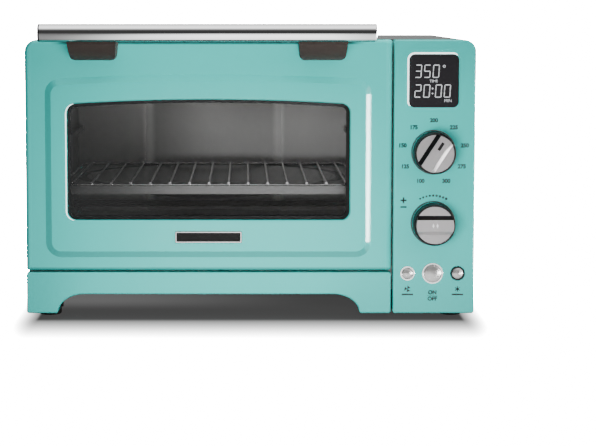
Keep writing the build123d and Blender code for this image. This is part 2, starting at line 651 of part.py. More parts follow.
with BuildPart() as control_board:
    with BuildSketch(front_plane(BOARD_FACE)):
        with Locations((BOARD_X, (BOARD_LOW + BOARD_HIGH) / 2)):
            RectangleRounded(BOARD_WIDTH, BOARD_HIGH - BOARD_LOW, BOARD_MARGIN)
    extrude(amount=-BOARD_THICKNESS)

# Rotary encoders on the control board, bored for the knob shafts
with BuildPart() as encoders:
    with BuildSketch(front_plane(BOARD_FACE)):
        with Locations(*KNOB_PLACES):
            RectangleRounded(ENCODER_SIZE, ENCODER_SIZE, ENCODER_CORNER)
    extrude(amount=ENCODER_DEPTH)
    with BuildSketch(front_plane(BOARD_FACE - ENCODER_DEPTH)):
        with Locations((CONTROL_X, MODE_Z)):
            Circle(SHAFT_DIAMETER / 2 + PIN_FIT)
        with Locations((CONTROL_X, SELECT_Z)):
            Circle(SHAFT_DIAMETER / 2 + 2 * PIN_FIT + PLUNGER_WALL)
    extrude(amount=ENCODER_FLOOR - ENCODER_DEPTH, mode=Mode.SUBTRACT)

with BuildPart() as knob_bezels:
    with BuildSketch(front_plane(DOOR_FACE + RECESS)):
        with Locations(*KNOB_PLACES):
            Circle(BEZEL_RADIUS)
            Circle(BEZEL_RADIUS - BEZEL_WALL, mode=Mode.SUBTRACT)
    extrude(amount=RECESS + BEZEL_RISE)
    fillet(faces().group_by(Axis.Y)[0].edges(), BEZEL_WALL / 3)

with BuildPart() as button_bezels:
    for button_x, diameter in BUTTON_PLACES:
        inner = diameter / 2 + BUTTON_PLAY
        with BuildSketch(front_plane(DOOR_FACE + RECESS)):
            with Locations((button_x, BUTTON_Z)):
                Circle(inner + BUTTON_RING)
                Circle(inner, mode=Mode.SUBTRACT)
        extrude(amount=RECESS + BUTTON_RING_RISE)
    fillet(faces().group_by(Axis.Y)[0].edges(), BUTTON_RING_RISE / 2)

with BuildPart() as button_switches:
    for button_x, diameter in BUTTON_PLACES:
        with BuildSketch(front_plane(BOARD_FACE)):
            with Locations((button_x, BUTTON_Z)):
                Rectangle(SWITCH_SIZE, SWITCH_SIZE)
        extrude(amount=SWITCH_SIZE / 2)


def knob(height, angle):
    """Core of a knob: a disc with a face on each side of a raised bar with sloping flanks."""
    with BuildPart() as core:
        radius = KNOB_DIAMETER / 2 - SLEEVE_WALL
        low = DOOR_FACE - KNOB_GAP
        face = KNOB_HEIGHT - KNOB_FACE_DEPTH
        with BuildSketch(front_plane(low)):
            with Locations((CONTROL_X, height)):
                Circle(radius)
        extrude(amount=KNOB_HEIGHT)
        flank = (GRIP_FOOT - GRIP_TOP) / 2
        axis = Axis((CONTROL_X, low, height), (0, -1, 0))
        cutter = Plane(origin=(CONTROL_X, low - face, height), x_dir=(0, 0, 1), z_dir=(1, 0, 0))
        with BuildSketch(cutter, mode=Mode.PRIVATE) as groove:
            for side in (-1, 1):
                with BuildLine():
                    Polyline(
                        (side * GRIP_FOOT / 2, 0),
                        (side * KNOB_DIAMETER, 0),
                        (side * KNOB_DIAMETER, KNOB_HEIGHT),
                        (side * (GRIP_TOP / 2 - flank * (KNOB_HEIGHT / KNOB_FACE_DEPTH - 1)), KNOB_HEIGHT),
                        close=True,
                    )
                make_face()
        cut = extrude(groove.sketch, amount=KNOB_DIAMETER, both=True, mode=Mode.PRIVATE)
        add(cut.rotate(axis, angle), mode=Mode.SUBTRACT)
        with BuildSketch(front_plane(low)):
            with Locations((CONTROL_X, height)):
                Circle(SHAFT_DIAMETER / 2)
        extrude(amount=SHAFT_SEAT, mode=Mode.SUBTRACT)
    return core


def knob_sleeve(height):
    with BuildPart() as sleeve:
        with BuildSketch(front_plane(DOOR_FACE - KNOB_GAP)):
            with Locations((CONTROL_X, height)):
                Circle(KNOB_DIAMETER / 2)
                Circle(KNOB_DIAMETER / 2 - SLEEVE_WALL, mode=Mode.SUBTRACT)
        extrude(amount=KNOB_HEIGHT - KNOB_FACE_DEPTH)
        fillet(faces().sort_by(Axis.Y)[0].outer_wire().edges(), SLEEVE_WALL / 2)
    return sleeve


def knob_shaft(height, tail):
    with BuildPart() as shaft:
        with BuildSketch(front_plane(DOOR_FACE - KNOB_GAP - SHAFT_SEAT)):
            with Locations((CONTROL_X, height)):
                Circle(SHAFT_DIAMETER / 2)
        extrude(amount=-(SHAFT_SEAT + KNOB_GAP + tail))
    return shaft


# Depth of the shaft ends below the panel face, short of the encoder's floor by the push travel
SHAFT_TAIL = BOARD_DEPTH - ENCODER_FLOOR - BUTTON_TRAVEL - BUTTON_PLAY
mode_knob = knob(MODE_Z, MODE_ANGLE)
mode_knob_sleeve = knob_sleeve(MODE_Z)
mode_shaft = knob_shaft(MODE_Z, SHAFT_TAIL)
select_knob = knob(SELECT_Z, 0)
select_knob_sleeve = knob_sleeve(SELECT_Z)
select_shaft = knob_shaft(SELECT_Z, SHAFT_TAIL)

# Sleeve that slides in the lower encoder with the shaft when the knob is pushed
with BuildPart() as select_plunger:
    with BuildSketch(front_plane(BOARD_FACE - ENCODER_DEPTH - BUTTON_TRAVEL - BUTTON_PLAY)):
        with Locations((CONTROL_X, SELECT_Z)):
            Circle(SHAFT_DIAMETER / 2 + PIN_FIT + PLUNGER_WALL)
            Circle(SHAFT_DIAMETER / 2 + PIN_FIT, mode=Mode.SUBTRACT)
    extrude(amount=ENCODER_FLOOR - ENCODER_DEPTH)


def push_button(button_x, diameter):
    """Domed cap with a collar behind the panel and a stem towards its switch."""
    with BuildPart() as button:
        radius = diameter / 2
        collar = DOOR_FACE + PANEL_WALL + SHEET_FIT
        stem = BOARD_FACE - SWITCH_SIZE / 2 - BUTTON_TRAVEL - BUTTON_PLAY
        forward = Plane(origin=(button_x, 0, BUTTON_Z), x_dir=(1, 0, 0), z_dir=(0, 0, -1))
        with BuildSketch(forward):
            with BuildLine():
                face = BUTTON_STAND - DOOR_FACE
                ThreePointArc(
                    (0, face + BUTTON_DOME),
                    (radius / 2, face + BUTTON_DOME * 3 / 4),
                    (radius, face),
                )
                Polyline(
                    (radius, face),
                    (radius, -collar),
                    (radius + BUTTON_FLANGE, -collar),
                    (radius + BUTTON_FLANGE, -collar - BUTTON_COLLAR),
                    (SWITCH_SIZE / 2, -collar - BUTTON_COLLAR),
                    (SWITCH_SIZE / 2, -stem),
                    (0, -stem),
                    (0, face + BUTTON_DOME),
                )
            make_face()
        revolve(axis=Axis((button_x, 0, BUTTON_Z), (0, 1, 0)))
    return button


convection_button = push_button(*BUTTON_PLACES[0])
start_button = push_button(*BUTTON_PLACES[1])
defrost_button = push_button(*BUTTON_PLACES[2])

# Oven cavity
with BuildPart() as cavity_frame:
    with BuildSketch(front_plane(CASE_FRONT)):
        casing_outline(CASE_SHEET + SHEET_FIT)
        with Locations((SIDE, FOOT_HEIGHT)):
            Rectangle(2 * (PANEL_WIDTH - PANEL_WALL), 2 * BODY_TOP, mode=Mode.SUBTRACT)
        with Locations((0, FOOT_HEIGHT)):
            Rectangle(2 * WIDTH, 2 * (PAN_TOP - FOOT_HEIGHT), mode=Mode.SUBTRACT)
        with Locations((DOOR_X, (FLOOR + CEILING) / 2)):
            Rectangle(CAVITY_WIDTH, CAVITY_HEIGHT, mode=Mode.SUBTRACT)
    extrude(amount=-CASE_SHEET)

with BuildPart() as cavity_floor:
    with BuildSketch(level_plane(FLOOR)):
        cavity_plan(CASE_SHEET, CAVITY_FRONT)
    extrude(amount=-CASE_SHEET)

with BuildPart() as cavity_ceiling:
    with BuildSketch(level_plane(CEILING)):
        cavity_plan(CASE_SHEET, CAVITY_FRONT)
    extrude(amount=CASE_SHEET)

with BuildPart() as cavity_back:
    with BuildSketch(level_plane(FLOOR)):
        cavity_plan(CASE_SHEET, CAVITY_BACK)
        cavity_plan(0, CAVITY_FRONT, Mode.SUBTRACT)
    extrude(amount=CAVITY_HEIGHT)

HEATER_YS = (CAVITY_FRONT + HEATER_END, CAVITY_BACK - HEATER_END)
UPPER_Z = CEILING - UPPER_HEATER_DROP
LOWER_Z = FLOOR + LOWER_HEATER_RISE
HEATER_PLACES = [(y, z) for y in HEATER_YS for z in (UPPER_Z, LOWER_Z)]
PROBE_PLACE = (CAVITY_BACK - PROBE_BACK, CEILING - PROBE_DROP)
RUNNER_LOW = FLOOR + RUNNER_LIFT
WALL_LENGTH = CAVITY_BACK - CAVITY_FRONT


def side_wall(inner, inward):
    """Upright wall with two pressed runners on its inside and holes for the heater bushes."""
    with BuildPart() as wall:
        middle = ((CAVITY_FRONT + CAVITY_BACK) / 2, (FLOOR + CEILING) / 2)
        with BuildSketch(side_plane(inner)):
            with Locations(middle):
                Rectangle(WALL_LENGTH, CAVITY_HEIGHT)
            with Locations(*HEATER_PLACES):
                Circle(BUSH_DIAMETER / 2, mode=Mode.SUBTRACT)
        extrude(amount=-inward * CASE_SHEET)
        for level in (RUNNER_LOW, RUNNER_LOW + RUNNER_PITCH):
            with BuildSketch(side_plane(inner)):
                with Locations((middle[0], level + RUNNER_HEIGHT / 2)):
                    Rectangle(WALL_LENGTH - 2 * RUNNER_REACH, RUNNER_HEIGHT)
            extrude(amount=inward * RUNNER_REACH)
    return wall


cavity_left_wall = side_wall(CAVITY_LEFT, 1)

with BuildPart() as cavity_right_wall:
    add(side_wall(CAVITY_RIGHT, -1).part)
    with BuildSketch(side_plane(CAVITY_RIGHT)):
        with Locations((FAN_Y, FAN_Z)):
            Circle(HOUSING_INNER)
        with Locations(PROBE_PLACE):
            Circle(PROBE_DIAMETER / 2 + PIN_FIT)
    extrude(amount=CASE_SHEET, both=True, mode=Mode.SUBTRACT)
    with BuildSketch(side_plane(CAVITY_RIGHT)):
        with Locations((FAN_Y, FAN_Z)):
            Circle(HOUSING_INNER + GRILLE_LAP + SHEET_FIT)
    extrude(amount=-2 * RUNNER_REACH, mode=Mode.SUBTRACT)


def heater_rods(level):
    with BuildPart() as rods:
        length = CAVITY_WIDTH + 2 * HEATER_OVERHANG
        with BuildSketch(side_plane(CAVITY_LEFT - HEATER_OVERHANG)):
            with Locations(*[(y, level) for y in HEATER_YS]):
                Circle(HEATER_DIAMETER / 2)
        extrude(amount=length)
    return rods


upper_heaters = heater_rods(UPPER_Z)
lower_heaters = heater_rods(LOWER_Z)

# Ceramic bushes, each with a neck in the wall and a flange outside it
with BuildPart() as heater_bushes:
    for inner, outward in ((CAVITY_LEFT, -1), (CAVITY_RIGHT, 1)):
        with BuildSketch(side_plane(inner)):
            with Locations(*HEATER_PLACES):
                Circle(BUSH_DIAMETER / 2 - PIN_FIT)
        extrude(amount=outward * CASE_SHEET)
        with BuildSketch(side_plane(inner + outward * CASE_SHEET)):
            with Locations(*HEATER_PLACES):
                Circle(BUSH_FLANGE / 2)
        extrude(amount=outward * BUSH_THICKNESS)
        with BuildSketch(side_plane(inner)):
            with Locations(*HEATER_PLACES):
                Circle(HEATER_DIAMETER / 2 + PIN_FIT)
        extrude(amount=outward * (CASE_SHEET + BUSH_THICKNESS), mode=Mode.SUBTRACT)

with BuildPart() as temperature_probe:
    with BuildSketch(side_plane(CAVITY_RIGHT - PROBE_REACH)):
        with Locations(PROBE_PLACE):
            Circle(PROBE_DIAMETER / 2)
    extrude(amount=PROBE_REACH + CASE_SHEET)
    with BuildSketch(side_plane(CAVITY_RIGHT + CASE_SHEET)):
        with Locations(PROBE_PLACE):
            RegularPolygon(PROBE_NUT / 2, 6)
    extrude(amount=PROBE_NUT)

# Crumb tray on the cavity floor, with a turned-up rim in front
with BuildPart() as crumb_tray:
    with BuildSketch(level_plane(FLOOR)):
        cavity_plan(-TRAY_PLAY, CAVITY_FRONT + TRAY_PLAY)
    extrude(amount=CRUMB_HEIGHT)
    with BuildSketch(level_plane(FLOOR + TRAY_SHEET)):
        cavity_plan(-TRAY_PLAY - TRAY_SHEET, CAVITY_FRONT + TRAY_PLAY + TRAY_SHEET)
    extrude(amount=CRUMB_HEIGHT, mode=Mode.SUBTRACT)

# Drip tray on the lower runners: flat rim, round well and an upright lip in front
TRAY_FRONT = CASE_FRONT + RACK_FRONT_ROOM
TRAY_BASE = RUNNER_LOW + RUNNER_HEIGHT + SLIDE_FIT
TRAY_TOP = TRAY_BASE + TRAY_SHEET
with BuildPart() as drip_tray:
    with BuildSketch(level_plane(TRAY_BASE)):
        cavity_plan(-TRAY_PLAY, TRAY_FRONT)
    extrude(amount=TRAY_SHEET)
    dish_floor = TRAY_WELL - TRAY_WELL_SLOPE
    with Locations((DOOR_X, BULGE_Y, TRAY_TOP)):
        dish = (Align.CENTER, Align.CENTER, Align.MAX)
        Cone(dish_floor, TRAY_WELL, TRAY_WELL_DEPTH, align=dish)
    with Locations((DOOR_X, BULGE_Y, TRAY_TOP)):
        Cone(
            dish_floor - TRAY_SHEET, TRAY_WELL - TRAY_SHEET, TRAY_WELL_DEPTH - TRAY_SHEET, align=dish,
            mode=Mode.SUBTRACT,
        )
    with BuildSketch(front_plane(TRAY_FRONT)):
        with Locations((DOOR_X, TRAY_TOP + TRAY_LIP_RISE - TRAY_LIP_HEIGHT / 2)):
            Rectangle(CAVITY_WIDTH - 2 * RUNNER_REACH - 2 * TRAY_PLAY, TRAY_LIP_HEIGHT)
    extrude(amount=-TRAY_SHEET)

# Wire rack on the drip tray: a frame of thicker wire under a row of thin wires
RACK_FRONT = TRAY_FRONT + TRAY_SHEET + SLIDE_FIT + RACK_FRAME_WIRE / 2
RACK_BACK = CAVITY_BACK - TRAY_PLAY - RACK_MARGIN
RACK_HALF = CAVITY_WIDTH / 2 - TRAY_PLAY - RACK_MARGIN
RACK_PITCH = 2 * (RACK_HALF - RACK_END) / (RACK_WIRES - 1)
FRAME_Z = TRAY_TOP + RACK_FRAME_WIRE / 2
WIRE_Z = FRAME_Z + (RACK_FRAME_WIRE + RACK_WIRE) / 2 - RACK_WIRE / 4
with BuildPart() as wire_rack:
    with BuildLine(level_plane(FRAME_Z)) as frame_path:
        FilletPolyline(
            (DOOR_X - RACK_HALF, RACK_FRONT),
            (DOOR_X + RACK_HALF, RACK_FRONT),
            (DOOR_X + RACK_HALF, RACK_BACK),
            (DOOR_X - RACK_HALF, RACK_BACK),
            radius=RACK_CORNER,
            close=True,
        )
    with BuildSketch(Plane(origin=frame_path.line @ 0, z_dir=frame_path.line % 0)):
        Circle(RACK_FRAME_WIRE / 2)
    sweep(path=frame_path.line)
    with BuildSketch(front_plane(RACK_FRONT - RACK_FRAME_WIRE / 2)):
        with Locations((DOOR_X, WIRE_Z)):
            with GridLocations(RACK_PITCH, 1, RACK_WIRES, 1):
                Circle(RACK_WIRE / 2)
    extrude(amount=RACK_FRONT - RACK_BACK - RACK_FRAME_WIRE)

# Convection fan
with BuildPart() as fan_grille:
    with BuildSketch(side_plane(CAVITY_RIGHT)):
        with Locations((FAN_Y, FAN_Z)):
            Circle(HOUSING_INNER + GRILLE_LAP)
            for ring in range(1, GRILLE_RINGS + 1):
                with PolarLocations(ring * GRILLE_PITCH, GRILLE_SPOKES * ring):
                    Circle(GRILLE_HOLE / 2, mode=Mode.SUBTRACT)
    extrude(amount=-CASE_SHEET)

with BuildPart() as fan_housing:
    with BuildSketch(side_plane(CAVITY_RIGHT + CASE_SHEET)):
        with Locations((FAN_Y, FAN_Z)):
            Circle(HOUSING_INNER + CASE_SHEET)
    extrude(amount=HOUSING_DEPTH)
    with BuildSketch(side_plane(CAVITY_RIGHT + CASE_SHEET)):
        with Locations((FAN_Y, FAN_Z)):
            Circle(HOUSING_INNER)
    extrude(amount=HOUSING_DEPTH - CASE_SHEET, mode=Mode.SUBTRACT)
    with BuildSketch(side_plane(MOTOR_X)):
        with Locations((FAN_Y, FAN_Z)):
            Circle(SPINDLE_DIAMETER)
    extrude(amount=-2 * CASE_SHEET, mode=Mode.SUBTRACT)

DISC_X = MOTOR_X - CASE_SHEET - FAN_ROOM / 2
with BuildPart() as fan_impeller:
    with BuildSketch(side_plane(DISC_X)):
        with Locations((FAN_Y, FAN_Z)):
            Circle(FAN_DIAMETER / 2)
    extrude(amount=-FAN_DISC)
    with BuildSketch(side_plane(DISC_X - FAN_DISC)):
        with Locations((FAN_Y, FAN_Z)):
            with PolarLocations((FAN_HUB + FAN_DIAMETER) / 4, FAN_BLADES):
                Rectangle((FAN_DIAMETER - FAN_HUB) / 2, FAN_DISC, rotation=FAN_BLADE_TURN)
    extrude(amount=-FAN_BLADE_WIDTH)
    with BuildSketch(side_plane(DISC_X)):
        with Locations((FAN_Y, FAN_Z)):
            Circle(FAN_HUB / 2)
    extrude(amount=-FAN_BLADE_WIDTH)
    with BuildSketch(side_plane(DISC_X)):
        with Locations((FAN_Y, FAN_Z)):
            Circle(SPINDLE_DIAMETER / 2)
    extrude(amount=MOTOR_X - DISC_X + MOTOR_LENGTH / 2)

with BuildPart() as fan_motor:
    with BuildSketch(side_plane(MOTOR_X)):
        with Locations((FAN_Y, FAN_Z)):
            Circle(MOTOR_DIAMETER / 2)
    extrude(amount=MOTOR_LENGTH)
    fillet(edges().group_by(Axis.X)[-1], FAN_ROOM / 2)
    with BuildSketch(side_plane(MOTOR_X)):
        with Locations((FAN_Y, FAN_Z)):
            Circle(SPINDLE_DIAMETER / 2 + PIN_FIT)
    extrude(amount=MOTOR_LENGTH / 2 + SLIDE_FIT, mode=Mode.SUBTRACT)

# Heat shield that stands on the base pan and carries the power board
with BuildPart() as bay_shield:
    with BuildSketch(side_plane(SHIELD_X)):
        with Locations((FAN_Y, PAN_TOP + SHIELD_HEIGHT / 2)):
            Rectangle(SHIELD_LENGTH, SHIELD_HEIGHT)
    extrude(amount=CASE_SHEET)
    with Locations((SHIELD_X + SHIELD_FOOT / 2, FAN_Y, PAN_TOP + CASE_SHEET / 2)):
        Box(SHIELD_FOOT, SHIELD_LENGTH, CASE_SHEET)

POWER_Z = PAN_TOP + SHIELD_HEIGHT / 2
POWER_X = SHIELD_X + CASE_SHEET + POWER_STANDOFF
with BuildPart() as power_board:
    with BuildSketch(side_plane(POWER_X)):
        with Locations((FAN_Y, POWER_Z)):
            Rectangle(POWER_LENGTH, POWER_HEIGHT)
    extrude(amount=BOARD_THICKNESS)
    with BuildSketch(side_plane(SHIELD_X + CASE_SHEET)):
        with Locations((FAN_Y, POWER_Z)):
            with GridLocations(POWER_LENGTH - BOARD_POST, POWER_HEIGHT - BOARD_POST, 2, 2):
                Circle(BOARD_POST / 2)
    extrude(amount=POWER_STANDOFF)
    with BuildSketch(side_plane(POWER_X + BOARD_THICKNESS)):
        with Locations((FAN_Y, POWER_Z + POWER_HEIGHT / 4)):
            with GridLocations(RELAY_PITCH, 1, RELAYS, 1):
                Rectangle(RELAY_SIZE, RELAY_SIZE)
        with Locations((FAN_Y - POWER_LENGTH / 4, POWER_Z - POWER_HEIGHT / 4)):
            Rectangle(TRANSFORMER_LENGTH, TRANSFORMER_HEIGHT)
    extrude(amount=RELAY_SIZE)

# Door shell: pressed front with a raised field and an arched window, hollow behind
SLOT_HALF = HINGE_PLATE / 2 + HINGE_SWING
with BuildPart() as door_shell:
    with BuildSketch(front_plane(DOOR_FACE)):
        front_outline(-SIDE, DOOR_RIGHT, DOOR_FOOT, BODY_TOP, CORNER_RADIUS, SMALL_CORNER)
    extrude(amount=-DOOR_THICKNESS)
    fillet(faces().sort_by(Axis.Y)[0].edges(), EDGE_RADIUS)
    with BuildSketch(front_plane(DOOR_FACE)):
        field_outline(FIELD_STEP / 2)
    with BuildSketch(front_plane(DOOR_FACE - FIELD_RAISE)):
        field_outline(-FIELD_STEP / 2)
    loft()
    with BuildSketch(front_plane(DOOR_BACK)):
        front_outline(
            FRONT_WALL - SIDE, DOOR_RIGHT - FRONT_WALL, DOOR_FOOT + FRONT_WALL, BODY_TOP - FRONT_WALL,
            CORNER_RADIUS - FRONT_WALL, SMALL_CORNER / 2,
        )
    extrude(amount=DOOR_THICKNESS - FRONT_WALL, mode=Mode.SUBTRACT)
    with BuildSketch(front_plane(DOOR_FACE - FIELD_RAISE)):
        window_outline(0)
    extrude(amount=-FIELD_RAISE - FRONT_WALL, mode=Mode.SUBTRACT)
    fillet(faces().sort_by(Axis.Y)[0].inner_wires()[0].edges(), WINDOW_EDGE)
    with Locations((DOOR_X, DOOR_BACK, DOOR_FOOT)):
        Box(2 * WIDTH, 2 * TOE_RELIEF, 2 * TOE_RELIEF, mode=Mode.SUBTRACT)
    swing = HINGE_EYE + SHEET_FIT
    with Locations(
        *[(x, HINGE_Y - swing + DOOR_THICKNESS / 2, DOOR_FOOT + HINGE_INSET / 2) for x in HINGE_XS]
    ):
        Box(2 * SLOT_HALF, DOOR_THICKNESS, HINGE_INSET, mode=Mode.SUBTRACT)

GASKET_FRONT = DOOR_FACE + FRONT_WALL
GLASS_FRONT = GASKET_FRONT + GASKET_THICKNESS
GLASS_BACK = GLASS_FRONT + GLASS_THICKNESS
with BuildPart() as glass_gasket:
    with BuildSketch(front_plane(GASKET_FRONT)):
        window_outline(GLASS_MARGIN)
    extrude(amount=-GASKET_THICKNESS)
    with BuildSketch(front_plane(GASKET_FRONT)):
        window_outline(-GASKET_LIP)
    extrude(amount=-GASKET_THICKNESS, mode=Mode.SUBTRACT)

with BuildPart() as door_glass:
    with BuildSketch(front_plane(GLASS_FRONT)):
        window_outline(GLASS_MARGIN)
    extrude(amount=-GLASS_THICKNESS)

# Inner panel: sheet over the back of the door, with a collar that holds the glass
INNER_FOOT = DOOR_FOOT + TOE_RELIEF + SHEET_FIT
INNER_INSET = FRONT_WALL + SHEET_FIT
with BuildPart() as door_inner_panel:
    with BuildSketch(front_plane(DOOR_BACK)):
        front_outline(
            INNER_INSET - SIDE, DOOR_RIGHT - INNER_INSET, INNER_FOOT, BODY_TOP - INNER_INSET,
            CORNER_RADIUS - INNER_INSET, SMALL_CORNER,
        )
    extrude(amount=INNER_SHEET)
    with BuildSketch(front_plane(DOOR_BACK)):
        window_outline(COLLAR_MARGIN + INNER_SHEET)
    extrude(amount=DOOR_BACK - GLASS_BACK)
    with BuildSketch(front_plane(DOOR_BACK)):
        window_outline(COLLAR_MARGIN)
    extrude(amount=DOOR_BACK - GLASS_BACK, mode=Mode.SUBTRACT)
    with Locations(*[(x, DOOR_BACK, INNER_FOOT) for x in HINGE_XS]):
        Box(
            2 * SLOT_HALF, 2 * DOOR_THICKNESS, 2 * (HINGE_Z + HINGE_EYE + HINGE_SWING - INNER_FOOT),
            mode=Mode.SUBTRACT,
        )

with BuildPart() as badge_plate:
    with BuildSketch(front_plane(DOOR_FACE - FIELD_RAISE)):
        with Locations((DOOR_X, DOOR_FOOT + BADGE_FOOT + BADGE_HEIGHT / 2)):
            RectangleRounded(BADGE_LENGTH, BADGE_HEIGHT, BADGE_THICKNESS)
    extrude(amount=BADGE_THICKNESS)
    chamfer(faces().sort_by(Axis.Y)[0].edges(), BADGE_THICKNESS / 3)

# Handle: tube, end caps and two cast brackets that cradle it
with BuildPart() as handle_bar:
    tube = HANDLE_LENGTH - 2 * CAP_THICKNESS
    with BuildSketch(side_plane(DOOR_X - tube / 2)):
        with Locations((HANDLE_Y, HANDLE_Z)):
            Circle(HANDLE_DIAMETER / 2)
            Circle(HANDLE_DIAMETER / 2 - HANDLE_WALL, mode=Mode.SUBTRACT)
    extrude(amount=tube)

with BuildPart() as handle_caps:
    for end in (-1, 1):
        inner_end = DOOR_X + end * tube / 2
        with BuildSketch(side_plane(inner_end)):
            with Locations((HANDLE_Y, HANDLE_Z)):
                Circle(HANDLE_DIAMETER / 2)
        extrude(amount=end * CAP_THICKNESS)
        with BuildSketch(side_plane(inner_end)):
            with Locations((HANDLE_Y, HANDLE_Z)):
                Circle(HANDLE_DIAMETER / 2 - HANDLE_WALL)
        extrude(amount=-end * CAP_PLUG)
    outer_faces = [faces().sort_by(Axis.X)[0], faces().sort_by(Axis.X)[-1]]
    fillet([edge for face in outer_faces for edge in face.edges()], CAP_THICKNESS / 2)


def handle_bracket(middle):
    """Arm from the door's face up to the bar, rounded at its lower corners."""
    with BuildPart() as bracket:
        foot = BODY_TOP - BRACKET_DROP
        under = HANDLE_Z - HANDLE_DIAMETER / 2 - SADDLE_WALL
        with BuildSketch(side_plane(middle - BRACKET_WIDTH / 2)):
            with BuildLine():
                Polyline(
                    (DOOR_FACE, BODY_TOP - EDGE_RADIUS),
                    (DOOR_FACE, foot),
                    (DOOR_FACE - BRACKET_FOOT, foot),
                )
                TangentArc(
                    (DOOR_FACE - BRACKET_FOOT, foot), (HANDLE_Y, under), tangent=(-1, 0)
                )
                Polyline(
                    (HANDLE_Y, under),
                    (HANDLE_Y, HANDLE_Z),
                    (HANDLE_Y + HANDLE_DIAMETER / 2, HANDLE_Z),
                    (DOOR_FACE, BODY_TOP - EDGE_RADIUS),
                )
            make_face()
        extrude(amount=BRACKET_WIDTH)
        with BuildSketch(side_plane(middle - BRACKET_WIDTH / 2)):
            with Locations((HANDLE_Y, HANDLE_Z)):
                Circle(HANDLE_DIAMETER / 2)
        extrude(amount=BRACKET_WIDTH, mode=Mode.SUBTRACT)
        with BuildSketch(front_plane(DOOR_FACE)):
            with BuildLine():
                half = BRACKET_WIDTH / 2
                Polyline(
                    (middle - half, HANDLE_Z),
                    (middle - half + BRACKET_TAPER, foot),
                    (middle + half - BRACKET_TAPER, foot),
                    (middle + half, HANDLE_Z),
                    close=True,
                )
            make_face()
            fillet(vertices().group_by(Axis.Y)[0], BRACKET_CORNER)
        extrude(amount=HANDLE_REACH, mode=Mode.INTERSECT)
    return bracket


handle_bracket_left = handle_bracket(DOOR_X - BRACKET_SPREAD / 2)
handle_bracket_right = handle_bracket(DOOR_X + BRACKET_SPREAD / 2)


def hinge_bracket(middle):
    """Upright plate with an eye for the pin, on a flange that sits on the cavity frame."""
    with BuildPart() as bracket:
        with BuildSketch(side_plane(middle - HINGE_PLATE / 2)):
            with Locations((HINGE_Y, HINGE_Z)):
                Circle(HINGE_EYE)
            with Locations(((HINGE_Y + CASE_FRONT) / 2, HINGE_Z)):
                Rectangle(CASE_FRONT - HINGE_Y, 2 * HINGE_EYE)
            with Locations((HINGE_Y, HINGE_Z)):
                Circle(HINGE_PIN / 2 + PIN_FIT, mode=Mode.SUBTRACT)
        extrude(amount=HINGE_PLATE)
        with BuildSketch(front_plane(CASE_FRONT)):
            with Locations((middle, HINGE_Z)):
                RectangleRounded(FLANGE_LENGTH, 2 * HINGE_EYE, HINGE_PLATE / 2)
        extrude(amount=HINGE_FLANGE)
    return bracket


hinge_bracket_left = hinge_bracket(HINGE_XS[0])
hinge_bracket_right = hinge_bracket(HINGE_XS[1])

# Clevises inside the door, open below and behind for the hinge plates, with their pins
EAR_INNER = HINGE_PLATE / 2 + HINGE_PLAY
CLEVIS_HALF = EAR_INNER + HINGE_EAR
CLEVIS_LOW = DOOR_FOOT + FRONT_WALL
CLEVIS_BACK = HINGE_Y + HINGE_EYE + HINGE_SWING
CLEVIS_DEPTH = CLEVIS_BACK - GASKET_FRONT
CLEVIS_TOP = HINGE_Z + HINGE_EYE + HINGE_SWING
with BuildPart() as hinge_clevises:
    for middle in HINGE_XS:
        with BuildSketch(front_plane(GASKET_FRONT)):
            with Locations((middle, (CLEVIS_LOW + CLEVIS_TOP + HINGE_EAR) / 2)):
                Rectangle(2 * CLEVIS_HALF, CLEVIS_TOP + HINGE_EAR - CLEVIS_LOW)
            with Locations((middle, CLEVIS_LOW)):
                Rectangle(2 * EAR_INNER, 2 * (CLEVIS_TOP - CLEVIS_LOW), mode=Mode.SUBTRACT)
        extrude(amount=-CLEVIS_DEPTH)
        with BuildSketch(side_plane(middle)):
            with Locations((HINGE_Y, HINGE_Z)):
                Circle(HINGE_PIN / 2)
        extrude(amount=CLEVIS_HALF, both=True, mode=Mode.SUBTRACT)

with BuildPart() as hinge_pins:
    for middle in HINGE_XS:
        with BuildSketch(side_plane(middle)):
            with Locations((HINGE_Y, HINGE_Z)):
                Circle(HINGE_PIN / 2)
        extrude(amount=CLEVIS_HALF, both=True)

save(case_wrap, "case_wrap")
save(rear_cover, "rear_cover")
save(cover_screws, "cover_screws")
save(cord_gland, "cord_gland")
save(base_pan, "base_pan")
save(feet, "feet")
save(base_fascia, "base_fascia")
save(control_panel, "control_panel")
save(display_lens, "display_lens")
save(display_module, "display_module")
save(control_board, "control_board")
save(encoders, "encoders")
save(knob_bezels, "knob_bezels")
save(button_bezels, "button_bezels")
save(button_switches, "button_switches")
save(mode_knob, "mode_knob")
save(mode_knob_sleeve, "mode_knob_sleeve")
save(mode_shaft, "mode_shaft")
save(select_knob, "select_knob")
save(select_knob_sleeve, "select_knob_sleeve")
save(select_shaft, "select_shaft")
save(select_plunger, "select_plunger")
save(convection_button, "convection_button")
save(start_button, "start_button")
save(defrost_button, "defrost_button")
save(cavity_frame, "cavity_frame")
save(cavity_floor, "cavity_floor")
save(cavity_ceiling, "cavity_ceiling")
save(cavity_back, "cavity_back")
save(cavity_left_wall, "cavity_left_wall")
save(cavity_right_wall, "cavity_right_wall")
save(upper_heaters, "upper_heaters")
save(lower_heaters, "lower_heaters")
save(heater_bushes, "heater_bushes")
save(temperature_probe, "temperature_probe")
save(crumb_tray, "crumb_tray")
save(drip_tray, "drip_tray")
save(wire_rack, "wire_rack")
save(fan_grille, "fan_grille")
save(fan_housing, "fan_housing")
save(fan_impeller, "fan_impeller")
save(fan_motor, "fan_motor")
save(bay_shield, "bay_shield")
save(power_board, "power_board")
save(door_shell, "door_shell")
save(glass_gasket, "glass_gasket")
save(door_glass, "door_glass")
save(door_inner_panel, "door_inner_panel")
save(badge_plate, "badge_plate")
save(handle_bar, "handle_bar")
save(handle_caps, "handle_caps")
